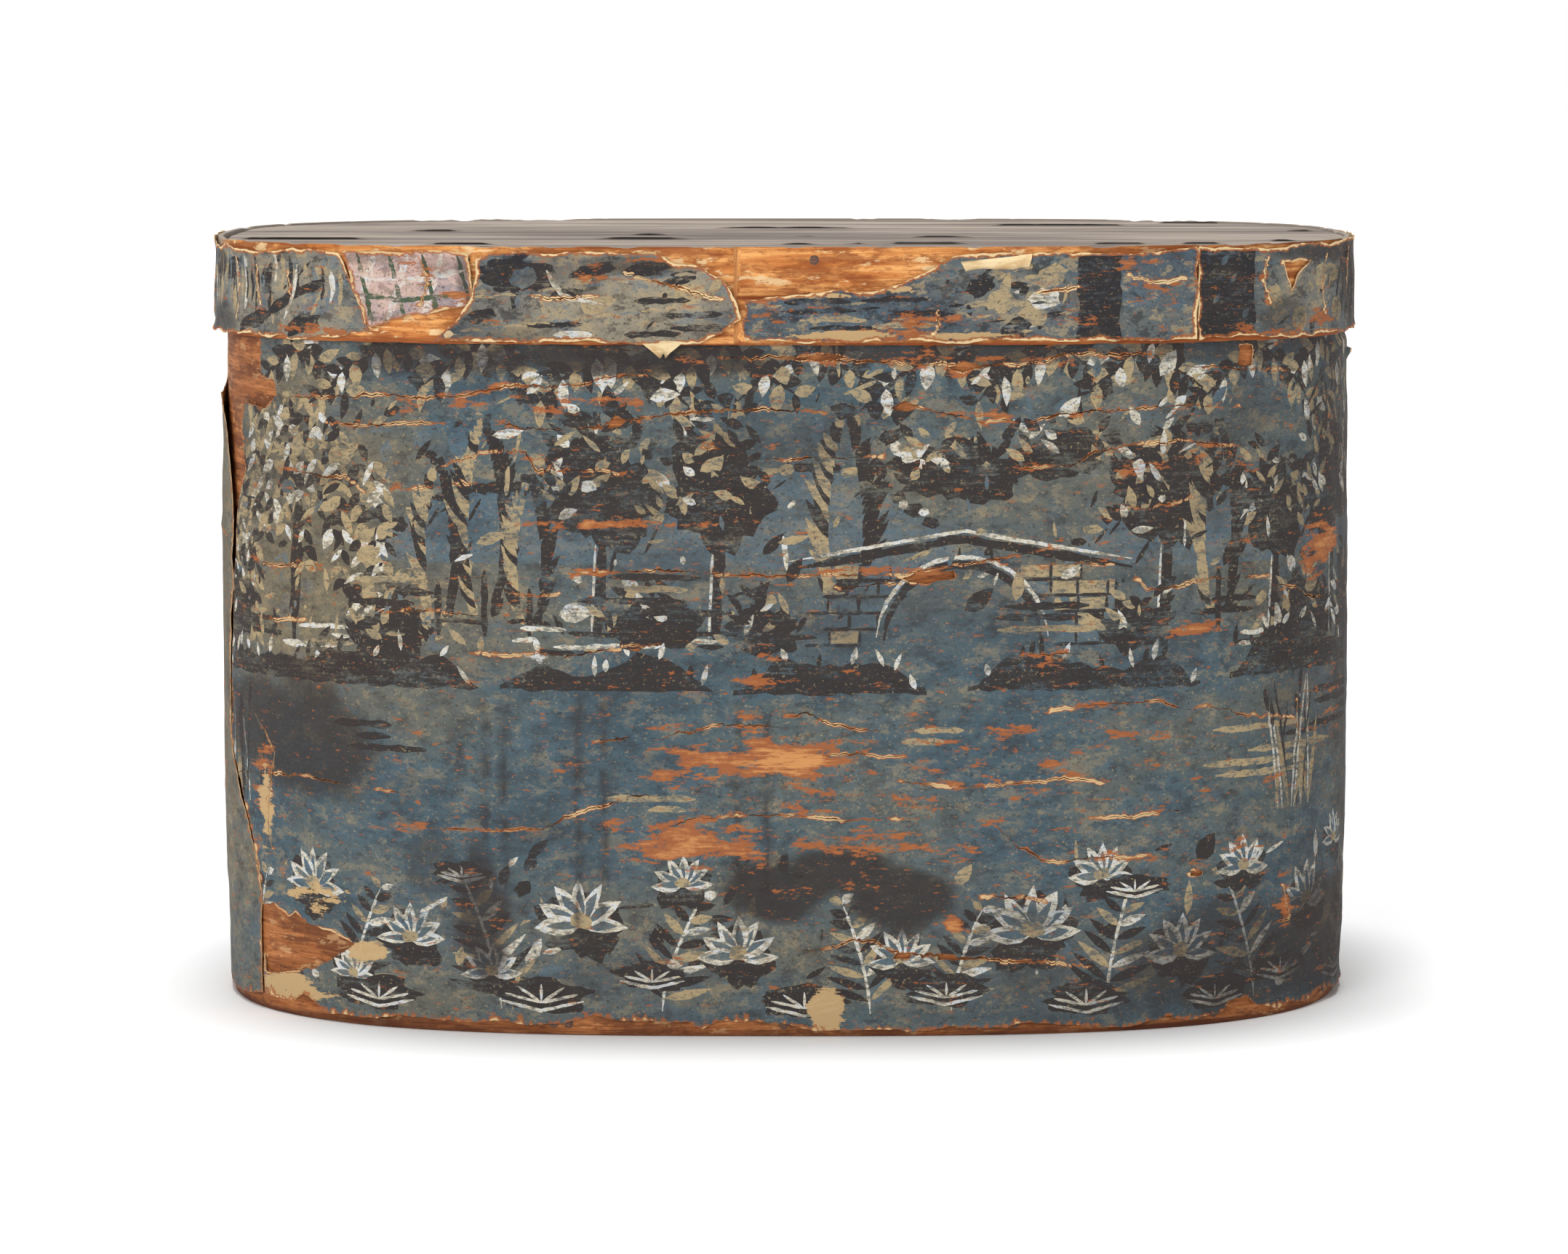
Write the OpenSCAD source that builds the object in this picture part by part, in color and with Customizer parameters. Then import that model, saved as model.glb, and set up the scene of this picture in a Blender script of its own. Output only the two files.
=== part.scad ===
// Oval storage box of thin bent wood with a lift-off lid, covered in torn wallpaper.
// Millimetres, +Z up, origin at the middle of the foot, front towards -Y.

/* [Box] */
// Width of the side band over the bare wood
band_w = 462; // [400:1:540]
// Depth of the side band over the bare wood
band_d = 343; // [280:1:400]
// Height of the side band
band_h = 301; // [240:1:340]
// Thickness of the side band
band_t = 2.4; // [1.8:0.1:4]
// Squareness of the oval plan, where 2 is an ellipse
plan_power = 3; // [2.4:0.1:4]
// Thickness of the bottom board
bottom_t = 9; // [7:0.5:14]

/* [Lid] */
// Height of the lid band
rim_h = 38.5; // [34:0.5:60]
// Thickness of the lid band
rim_t = 2.2; // [1.8:0.1:4]
// Thickness of the lid board
lid_board_t = 9.5; // [7:0.5:14]
// Height of the lid band above the lid board
rim_proud = 0.6; // [0.2:0.1:1.5]
// Gap all round between the papered side and the lid band
lid_clear = 0.9; // [0.6:0.1:3]

/* [Lap joints] */
// Overlap of the side band's ends, at the back
band_lap = 60; // [50:1:90]
// Overlap of the lid band's ends, at the front
rim_lap = 70; // [50:1:90]
// Outer end of the lid band's lap, left of the middle
rim_lap_left = 19; // [5:1:40]
// Slit between lapped ends
lap_slit = 0.2; // [0.1:0.05:0.4]

/* [Nails and tacks] */
// Diameter of a nail's shank
nail_d = 1.6; // [1:0.1:2.4]
// Diameter of a nail's head
nail_head_d = 4.4; // [3:0.1:5.5]
// Thickness of a nail's head
nail_head_t = 0.9; // [0.5:0.1:1.2]
// Length of a nail
nail_l = 18; // [12:0.5:24]
// Length of a nail's point
nail_point = 3; // [1.5:0.5:5]
// Depth of a head below the wood's face
head_sink = 0.15; // [0.1:0.05:0.3]
// Gap round a nail in its hole
nail_clear = 0.05; // [0.02:0.01:0.1]
// Distance from the middle of the front to the first lid nail
first_lid_nail = 12; // [0:1:40]
// Nails round the lid
lid_nail_count = 20; // [8:1:28]
// Nails round the bottom
bottom_nail_count = 16; // [8:1:28]
// Tacks up the side band's lap
band_tack_count = 4; // [3:1:8]
// Distance from the side band's edges to the first and last tack
band_tack_margin = 34; // [20:1:60]
// Diameter of a tack's head
tack_head_d = 6; // [4:0.5:8]

/* [Papers] */
// Thickness of the wallpaper
paper_t = 0.4; // [0.2:0.05:0.6]
// Thickness of the lining paper
lining_t = 0.3; // [0.2:0.05:0.6]
// Gap where two sheets meet
sheet_gap = 0.3; // [0.2:0.1:1]
// Bare strip at the foot of the side
paper_foot = 3.5; // [2:0.5:8]
// Bare strip at the top of the side
paper_head = 4; // [2:0.5:12]
// Bare strip at the top of the lid band
rim_paper_head = 4; // [2:0.5:8]
// Bare strip at the foot of the lid band
rim_paper_foot = 2; // [1:0.5:6]

/* [Torn places] */
// Distance of the front sheet's left edge from the left end
front_sheet_inset = 16; // [8:1:40]
// Bare wood beside the front sheet's left edge
left_bare_w = 4; // [2:0.5:10]
// Width of the torn top left corner
corner_tear_w = 15; // [8:1:40]
// Height of the torn top left corner, below the lid band
corner_tear_h = 26; // [15:1:60]
// Distance of the torn foot from the left end
foot_tear_inset = 24; // [20:1:60]
// Width of the torn foot
foot_tear_w = 52; // [30:1:80]
// Height of the torn foot
foot_tear_h = 48; // [30:1:80]
// Width of the torn right heel
heel_tear_w = 26; // [15:1:50]
// Height of the torn right heel
heel_tear_h = 13; // [8:1:30]
// Distance of the torn right heel from the right end
heel_tear_inset = 26; // [20:1:60]
// Width of the lid's left sheet along its top, from the left end
lid_left_sheet_w = 64; // [45:1:80]
// Extra width of the lid's left sheet along its foot
lid_left_slant = 9; // [0:1:14]
// Width of the odd scrap beside it
scrap_w = 47; // [35:1:56]
// Height of the bare wood under the scrap at its left
scrap_low_left = 5; // [3:0.5:10]
// Height of the bare wood under the scrap at its right
scrap_low_right = 14; // [5:0.5:20]
// Height of the right sheet's torn end at the lap
right_tear_low = 19; // [10:0.5:22]
// Height of the right sheet's torn edge at its knee
right_tear_knee = 24; // [14:0.5:28]
// Distance of that knee from the lap
right_tear_knee_x = 65; // [40:1:75]
// Distance from the knee to the whole part of the right sheet
right_tear_rise = 20; // [8:1:30]
// Width of the dark sheet at the lid's right end
lid_end_sheet_w = 75; // [45:1:90]

/* [Hidden] */

// Points round the plan, a multiple of four so that the ends and sides each have one
plan_points = 144;
// Overshoot of a cut past the face it opens
cut_over = 1;
// Facets of a nail
round_fn = 24;
// Shares of the way round, anticlockwise from the right end
back_share = 1 / 4;
front_share = 3 / 4;
// Width of a nail's tip as a share of its shank
tip_share = 1 / 4;

// Offsets from the side band's outer face
band_in = -band_t;
lining_in = band_in - lining_t;
rim_in = paper_t + lid_clear;
rim_out = rim_in + rim_t;
rim_paper_out = rim_out + paper_t;

// Heights
lid_board_low = band_h + lining_t;
lid_board_high = lid_board_low + lid_board_t;
rim_high = lid_board_high + rim_proud;
rim_low = rim_high - rim_h;

// Ends of the bare side band and of the bare lid band
left_end = -band_w / 2;
right_end = band_w / 2;
rim_left = left_end - rim_out;
rim_right = right_end + rim_out;

// Size of a block that is larger than the whole box
far = band_w + band_d + band_h;

// Superellipse, moved out along its normal by an offset
function share(value, power) = sign(value) * pow(abs(value), power);
function plan_spot(turn) = [
    band_w / 2 * share(cos(turn), 2 / plan_power),
    band_d / 2 * share(sin(turn), 2 / plan_power)
];
function plan_slope(turn) = [
    share(cos(turn), 2 - 2 / plan_power) / band_w,
    share(sin(turn), 2 - 2 / plan_power) / band_d
];
function plan(offset_by) = [
    for (i = [0 : plan_points - 1])
        let (turn = 360 * i / plan_points, slope = plan_slope(turn))
            plan_spot(turn) + offset_by * slope / norm(slope)
];

// Chords of an outline, and the run of each one's start from the right end, anticlockwise
function chord(line, i) = line[(i + 1) % len(line)] - line[i];
function run_starts(line) = [
    for (i = 0, run = 0; i < len(line); run = run + norm(chord(line, i)), i = i + 1) run
];
function outline_length(line, i = 0) =
    i < len(line) ? norm(chord(line, i)) + outline_length(line, i + 1) : 0;

// Point and outward heading at a run along an outline
function face_spot(line, run) =
    let (
        starts = run_starts(line),
        i = max([for (k = [0 : len(line) - 1]) if (starts[k] <= run) k]),
        along = chord(line, i) / norm(chord(line, i))
    )
    [line[i] + along * (run - starts[i]), atan2(-along.x, along.y)];

// Runs of nails spread evenly from a first one
function nail_runs(line, first, count) =
    let (whole = outline_length(line))
    [for (i = [0 : count - 1]) (first + whole * i / count) % whole];

band_line = plan(0);
rim_line = plan(rim_out);
bottom_runs = nail_runs(band_line, 0, bottom_nail_count);
lid_runs = nail_runs(rim_line, outline_length(rim_line) * front_share + first_lid_nail, lid_nail_count);

module slab(offset_by, low, high) {
    translate([0, 0, low])
        linear_extrude(high - low)
            polygon(plan(offset_by));
}

module ring(inner, outer, low, high) {
    difference() {
        slab(outer, low, high);
        slab(inner, low - cut_over, high + cut_over);
    }
}

// Block from a left to a right face, on the front or back half
module half_block(left, right, side, low, high) {
    translate([left, side < 0 ? -far : 0, low])
        cube([right - left, far, high - low]);
}

// Outline of widths and heights, driven through the front half
module front_cut(points) {
    rotate([90, 0, 0])
        linear_extrude(far)
            polygon(points);
}

// Slit of a half lap: through the outer half, along the middle, through the inner half
module lap_cut(inner, outer, left, long, side, low, high) {
    middle = (inner + outer) / 2;
    cut_low = low - cut_over;
    cut_high = high + cut_over;
    intersection() {
        ring(middle - lap_slit / 2, middle + lap_slit / 2, cut_low, cut_high);
        half_block(left, left + long, side, cut_low, cut_high);
    }
    intersection() {
        ring(middle - lap_slit / 2, outer + cut_over, cut_low, cut_high);
        half_block(left, left + lap_slit, side, cut_low, cut_high);
    }
    intersection() {
        ring(inner - cut_over, middle + lap_slit / 2, cut_low, cut_high);
        half_block(left + long - lap_slit, left + long, side, cut_low, cut_high);
    }
}

// Puts a nail that points along +Z into the face of an outline, pointing in
module into_face(line, run, height) {
    spot = face_spot(line, run);
    translate([spot[0].x, spot[0].y, height])
        rotate([0, 0, spot[1]])
            rotate([0, -90, 0])
                children();
}

module nail() {
    translate([0, 0, head_sink])
        cylinder(d = nail_head_d, h = nail_head_t, $fn = round_fn);
    translate([0, 0, head_sink])
        cylinder(d = nail_d, h = nail_l - nail_point, $fn = round_fn);
    translate([0, 0, head_sink + nail_l - nail_point])
        cylinder(d1 = nail_d, d2 = nail_d * tip_share, h = nail_point, $fn = round_fn);
}

module nail_hole() {
    translate([0, 0, -cut_over])
        cylinder(
            d = nail_head_d + 2 * nail_clear,
            h = cut_over + head_sink + nail_head_t + nail_clear,
            $fn = round_fn
        );
    cylinder(d = nail_d + 2 * nail_clear, h = head_sink + nail_l + nail_clear, $fn = round_fn);
}

module tack() {
    translate([0, 0, head_sink])
        cylinder(d = tack_head_d, h = nail_head_t, $fn = round_fn);
    translate([0, 0, head_sink])
        cylinder(d = nail_d, h = band_t - head_sink, $fn = round_fn);
}

module tack_hole() {
    translate([0, 0, -cut_over])
        cylinder(
            d = tack_head_d + 2 * nail_clear,
            h = cut_over + head_sink + nail_head_t + nail_clear,
            $fn = round_fn
        );
    cylinder(d = nail_d + 2 * nail_clear, h = band_t + cut_over, $fn = round_fn);
}

module at_bottom_nails() {
    for (run = bottom_runs)
        into_face(band_line, run, bottom_t / 2) children();
}

module at_lid_nails() {
    for (run = lid_runs)
        into_face(rim_line, run, lid_board_low + lid_board_t / 2) children();
}

module at_band_tacks() {
    first = bottom_t + band_tack_margin;
    last = rim_low - band_tack_margin;
    for (i = [0 : band_tack_count - 1])
        into_face(
            band_line,
            outline_length(band_line) * back_share,
            first + (last - first) * i / (band_tack_count - 1)
        ) children();
}

module side_band() {
    color("peru")
        difference() {
            ring(band_in, 0, 0, band_h);
            lap_cut(band_in, 0, -band_lap / 2, band_lap, 1, 0, band_h);
            at_bottom_nails() nail_hole();
            at_band_tacks() tack_hole();
        }
}

module bottom_board() {
    color("burlywood")
        difference() {
            slab(band_in, 0, bottom_t);
            at_bottom_nails() nail_hole();
        }
}

module bottom_nails() {
    color("dimgray") at_bottom_nails() nail();
}

module band_tacks() {
    color("dimgray") at_band_tacks() tack();
}

// Sheet on the side between two heights
module side_sheet() {
    ring(0, paper_t, paper_foot, band_h - paper_head);
}

// The front half, from the front sheet's left edge, is the front sheet's
module front_half(grow) {
    half_block(left_end + front_sheet_inset - grow, far, -1, -cut_over, band_h + cut_over);
}

module front_paper() {
    sheet_left = left_end + front_sheet_inset;
    tear_right = sheet_left + corner_tear_w;
    tear_low = rim_low - corner_tear_h;
    foot_left = left_end + foot_tear_inset;
    foot_right = foot_left + foot_tear_w;
    heel_right = right_end - heel_tear_inset;
    heel_left = heel_right - heel_tear_w;
    color("slategray")
        difference() {
            intersection() {
                side_sheet();
                translate([0, -sheet_gap, 0]) front_half(0);
            }
            front_cut([
                [sheet_left - cut_over, band_h],
                [tear_right, band_h],
                [tear_right, tear_low],
                [sheet_left - cut_over, tear_low - corner_tear_h / 2]
            ]);
            front_cut([
                [foot_left, 0],
                [foot_left, foot_tear_h / 2],
                [foot_left + foot_tear_w / 3, foot_tear_h],
                [foot_right, foot_tear_h * 2 / 3],
                [foot_right, 0]
            ]);
            front_cut([
                [heel_left, 0],
                [heel_left + heel_tear_w / 2, paper_foot + heel_tear_h],
                [heel_right, 0]
            ]);
        }
}

module back_paper() {
    color("lightslategray")
        difference() {
            side_sheet();
            front_half(left_bare_w);
        }
}

module side_lining() {
    color("antiquewhite")
        ring(lining_in, band_in, bottom_t + lining_t, band_h);
}

module bottom_lining() {
    color("antiquewhite")
        slab(band_in, bottom_t, bottom_t + lining_t);
}

module lid_board() {
    color("darkgray")
        difference() {
            slab(rim_in, lid_board_low, lid_board_high);
            at_lid_nails() nail_hole();
        }
}

module lid_band() {
    color("sienna")
        difference() {
            ring(rim_in, rim_out, rim_low, rim_high);
            lap_cut(rim_in, rim_out, -rim_lap_left, rim_lap, -1, rim_low, rim_high);
            at_lid_nails() nail_hole();
        }
}

module lid_nails() {
    color("dimgray") at_lid_nails() nail();
}

// Sheet on the lid band between two heights
module rim_sheet() {
    ring(rim_out, rim_paper_out, rim_low + rim_paper_foot, rim_high - rim_paper_head);
}

// Part of the front of that sheet inside an outline
module rim_front_sheet(points) {
    intersection() {
        rim_sheet();
        translate([0, -sheet_gap, 0]) front_cut(points);
    }
}

// Edges of the sheets on the front of the lid band
left_sheet_top_x = rim_left + lid_left_sheet_w;
left_sheet_foot_x = left_sheet_top_x + lid_left_slant;
scrap_right_x = left_sheet_top_x + scrap_w;
lap_x = -rim_lap_left;
end_seam_x = rim_right - lid_end_sheet_w;

module lid_left_paper() {
    color("darkslategray")
        rim_front_sheet([
            [-far, rim_low],
            [left_sheet_foot_x, rim_low],
            [left_sheet_top_x, rim_high],
            [-far, rim_high]
        ]);
}

module lid_scrap_paper() {
    color("rosybrown")
        rim_front_sheet([
            [left_sheet_foot_x + sheet_gap, rim_low + scrap_low_left],
            [scrap_right_x, rim_low + scrap_low_right],
            [scrap_right_x, rim_high],
            [left_sheet_top_x + sheet_gap, rim_high]
        ]);
}

module lid_middle_paper() {
    color("slategray")
        rim_front_sheet([
            [scrap_right_x + sheet_gap, rim_low],
            [lap_x, rim_low],
            [lap_x, rim_high],
            [scrap_right_x + sheet_gap, rim_high]
        ]);
}

module lid_right_paper() {
    knee_x = lap_x + right_tear_knee_x;
    color("steelblue")
        rim_front_sheet([
            [lap_x + sheet_gap, rim_low],
            [end_seam_x - sheet_gap, rim_low],
            [end_seam_x - sheet_gap, rim_high],
            [knee_x + right_tear_rise, rim_high],
            [knee_x, rim_low + right_tear_knee],
            [lap_x + sheet_gap, rim_low + right_tear_low]
        ]);
}

module lid_end_paper() {
    color("darkslategray")
        rim_front_sheet([
            [end_seam_x, rim_low],
            [far, rim_low],
            [far, rim_high],
            [end_seam_x, rim_high]
        ]);
}

module lid_back_paper() {
    color("slategray")
        intersection() {
            rim_sheet();
            half_block(-far, far, 1, rim_low, rim_high);
        }
}

module lid_lining() {
    color("antiquewhite")
        slab(rim_in, band_h, lid_board_low);
}

side_band();
bottom_board();
bottom_nails();
band_tacks();
front_paper();
back_paper();
side_lining();
bottom_lining();
lid_board();
lid_band();
lid_nails();
lid_left_paper();
lid_scrap_paper();
lid_middle_paper();
lid_right_paper();
lid_end_paper();
lid_back_paper();
lid_lining();
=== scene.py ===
"""Looks of an oval bandbox: bent wood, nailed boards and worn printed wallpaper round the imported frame."""
import logging
import math
from collections.abc import Callable
from dataclasses import dataclass, field
from enum import Enum
from functools import cached_property

import bpy
import numpy as np
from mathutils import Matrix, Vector
from mathutils.geometry import delaunay_2d_cdt
from mathutils.kdtree import KDTree


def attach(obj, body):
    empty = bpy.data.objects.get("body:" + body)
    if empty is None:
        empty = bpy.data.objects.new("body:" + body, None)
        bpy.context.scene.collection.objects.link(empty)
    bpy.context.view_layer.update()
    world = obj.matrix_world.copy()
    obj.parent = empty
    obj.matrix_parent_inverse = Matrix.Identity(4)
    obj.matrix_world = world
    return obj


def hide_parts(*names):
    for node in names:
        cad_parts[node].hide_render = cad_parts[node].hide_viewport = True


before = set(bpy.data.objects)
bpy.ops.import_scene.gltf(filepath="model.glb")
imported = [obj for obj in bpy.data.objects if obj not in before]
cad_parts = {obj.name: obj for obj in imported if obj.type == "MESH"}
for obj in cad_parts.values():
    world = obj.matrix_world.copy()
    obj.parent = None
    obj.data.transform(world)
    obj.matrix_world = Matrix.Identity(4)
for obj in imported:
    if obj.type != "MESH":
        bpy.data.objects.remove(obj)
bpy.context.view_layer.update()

logging.basicConfig(level=logging.INFO, format="%(message)s")
log = logging.getLogger("bandbox")

Tone = tuple[float, float, float]
Spot = tuple[float, float]
Array = np.ndarray
Material = bpy.types.Material
Piece = bpy.types.Object

METRES = 0.001
FAR = 1e4


class Body(Enum):
    """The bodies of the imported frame."""

    BOX = "box"
    LID = "lid"


# Shape tools


@dataclass(frozen=True)
class OvalPlan:
    """The plan of the bare side band: a superellipse, measured by arc length from the front middle.

    Lengths are in millimetres. The run grows to the right of the front.
    """

    half_width: float = 231.0
    half_depth: float = 171.5
    power: float = 3.0
    steps: int = 7200

    @cached_property
    def _table(self) -> tuple[Array, Array]:
        """Tables the run round the plan.

        Returns:
            Angles from the front middle, and the run at each.
        """
        turn = np.linspace(-math.pi, math.pi, self.steps + 1)
        across, deep = self._spot(turn)
        run = np.concatenate([[0.0], np.cumsum(np.hypot(np.diff(across), np.diff(deep)))])
        return turn, run - run[self.steps // 2]

    @property
    def half_round(self) -> float:
        """Half the way round."""
        return float(self._table[1][-1])

    def _spot(self, turn: Array) -> tuple[Array, Array]:
        """Finds places on the plan.

        Args:
            turn: Angles from the front middle.

        Returns:
            Places across and places deep.
        """
        side, front = np.sin(turn), -np.cos(turn)
        fill = np.abs(side / self.half_width) ** self.power + np.abs(front / self.half_depth) ** self.power
        reach = fill ** (-1 / self.power)
        return reach * side, reach * front

    def centred(self, run: Array) -> Array:
        """The same places as runs of at most half the way round to either side."""
        return (run + self.half_round) % (2 * self.half_round) - self.half_round

    def place(self, run: Array, height: Array, offset: Array) -> Array:
        """Points in the frame.

        Args:
            run: Arc length from the front middle.
            height: Height above the foot.
            offset: Distance out from the bare side band.

        Returns:
            One row of three metres for each point.
        """
        given = (np.asarray(each, float) for each in (run, height, offset))
        run, height, offset = np.broadcast_arrays(*given)
        across, deep = self._spot(np.interp(self.centred(run), self._table[1], self._table[0]))
        slope = self.power - 1
        lean_x = np.sign(across) * np.abs(across / self.half_width) ** slope / self.half_width
        lean_y = np.sign(deep) * np.abs(deep / self.half_depth) ** slope / self.half_depth
        out = offset / np.hypot(lean_x, lean_y)
        return METRES * np.stack([across + out * lean_x, deep + out * lean_y, height], axis=-1)

    def run_of(self, across: float, deep: float) -> float:
        """Run of the point on the plan that lies in this direction from the middle."""
        return float(np.interp(math.atan2(across, -deep), self._table[0], self._table[1]))


@dataclass(frozen=True)
class Ripple:
    """Seeded smooth noise from -1 to 1, for relief that is the same on each run."""

    seed: int
    along: float
    across: float
    octaves: int = 4
    cells: int = 256

    @cached_property
    def _lattice(self) -> Array:
        """Random heights at the corners of the cells."""
        return np.random.default_rng(self.seed).uniform(-1, 1, (self.cells, self.cells))

    def at(self, run: Array, height: Array) -> Array:
        """Noise at places.

        Args:
            run: Places along the piece, in millimetres.
            height: Places across it.

        Returns:
            The noise at each place.
        """
        total = np.zeros(np.broadcast(run, height).shape)
        share = 0.0
        for octave in range(self.octaves):
            fine = 2.0**octave
            x = np.asarray(run) / self.along * fine + 17.3 * octave
            y = np.asarray(height) / self.across * fine + 31.7 * octave
            i, j = np.floor(x).astype(int), np.floor(y).astype(int)
            s, t = x - i, y - j
            s, t = s * s * (3 - 2 * s), t * t * (3 - 2 * t)
            i, j, right, above = (cell % self.cells for cell in (i, j, i + 1, j + 1))
            low = self._lattice[i, j] * (1 - s) + self._lattice[right, j] * s
            high = self._lattice[i, above] * (1 - s) + self._lattice[right, above] * s
            total += (low * (1 - t) + high * t) / fine
            share += 1 / fine
        return total / share


def ease(value: Array, low: float, high: float) -> Array:
    """A straight rise from 0 at low to 1 at high, held beyond them; it falls where low is the larger."""
    return np.clip((value - low) / (high - low), 0, 1)


def baked_cells(columns: int, rows: int) -> Array:
    """Corners of the cells of a grid on the baked square.

    Args:
        columns: Number of cells across.
        rows: Number of cells up.

    Returns:
        Four corners of each cell, by column and row.
    """
    left, low = np.meshgrid(np.arange(columns) / columns, np.arange(rows) / rows, indexing="ij")
    right, high = left + 1 / columns, low + 1 / rows
    return np.stack([left, low, right, low, right, high, left, high], axis=-1).reshape(columns, rows, 4, 2)


def baked_strip(count: int, low: float, high: float) -> Array:
    """Cells side by side across the baked square, between two heights."""
    return baked_cells(count, 1)[:, 0] * (1, high - low) + (0, low)


def spaced(line: Array, step: float, closed: bool) -> Array:
    """Points at an even step along a line.

    Args:
        line: Points of the line.
        step: Usual distance between the new points.
        closed: Whether the line returns to its start.

    Returns:
        The new points, three at least.
    """
    points = np.vstack([line, line[:1]]) if closed else np.asarray(line, float)
    run = np.concatenate([[0.0], np.cumsum(np.hypot(*np.diff(points, axis=0).T))])
    along = np.linspace(0, run[-1], max(int(run[-1] / step), 3), endpoint=not closed)
    return np.stack([np.interp(along, run, points[:, 0]), np.interp(along, run, points[:, 1])], axis=-1)


def leftward(line: Array) -> Array:
    """Unit steps to the left of a line at each of its points."""
    step = np.gradient(line, axis=0)
    return np.stack([-step[:, 1], step[:, 0]], axis=-1) / np.maximum(np.hypot(*step.T), 1e-6)[:, None]


def counter(line: Array) -> Array:
    """A closed line, turned to run counter-clockwise.

    Args:
        line: Points of the line.

    Returns:
        The points in their new order.
    """
    ahead = np.roll(line, -1, axis=0)
    area = np.sum(line[:, 0] * ahead[:, 1] - ahead[:, 0] * line[:, 1])
    return line if area > 0 else line[::-1]


def within(points: Array, starts: Array, ends: Array) -> Array:
    """Whether flat points lie inside loops.

    Args:
        points: The points.
        starts: Starts of the edges that close the loops.
        ends: Ends of those edges.

    Returns:
        True for each point inside.
    """
    inside = np.zeros(len(points), bool)
    x, y = points[:, 0], points[:, 1]
    for (x0, y0), (x1, y1) in zip(starts, ends):
        if y0 != y1:
            between = (y0 > y) != (y1 > y)
            inside ^= between & (x < (x1 - x0) * (y - y0) / (y1 - y0) + x0)
    return inside


def nearest(points: Array, targets: Array) -> Array:
    """Distance of each flat point from the nearest target.

    Args:
        points: The points.
        targets: The targets.

    Returns:
        One distance for each point.
    """
    tree = KDTree(len(targets))
    for number, (x, y) in enumerate(targets):
        tree.insert((x, y, 0.0), number)
    tree.balance()
    return np.array([tree.find((x, y, 0.0))[2] for x, y in points])


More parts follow.
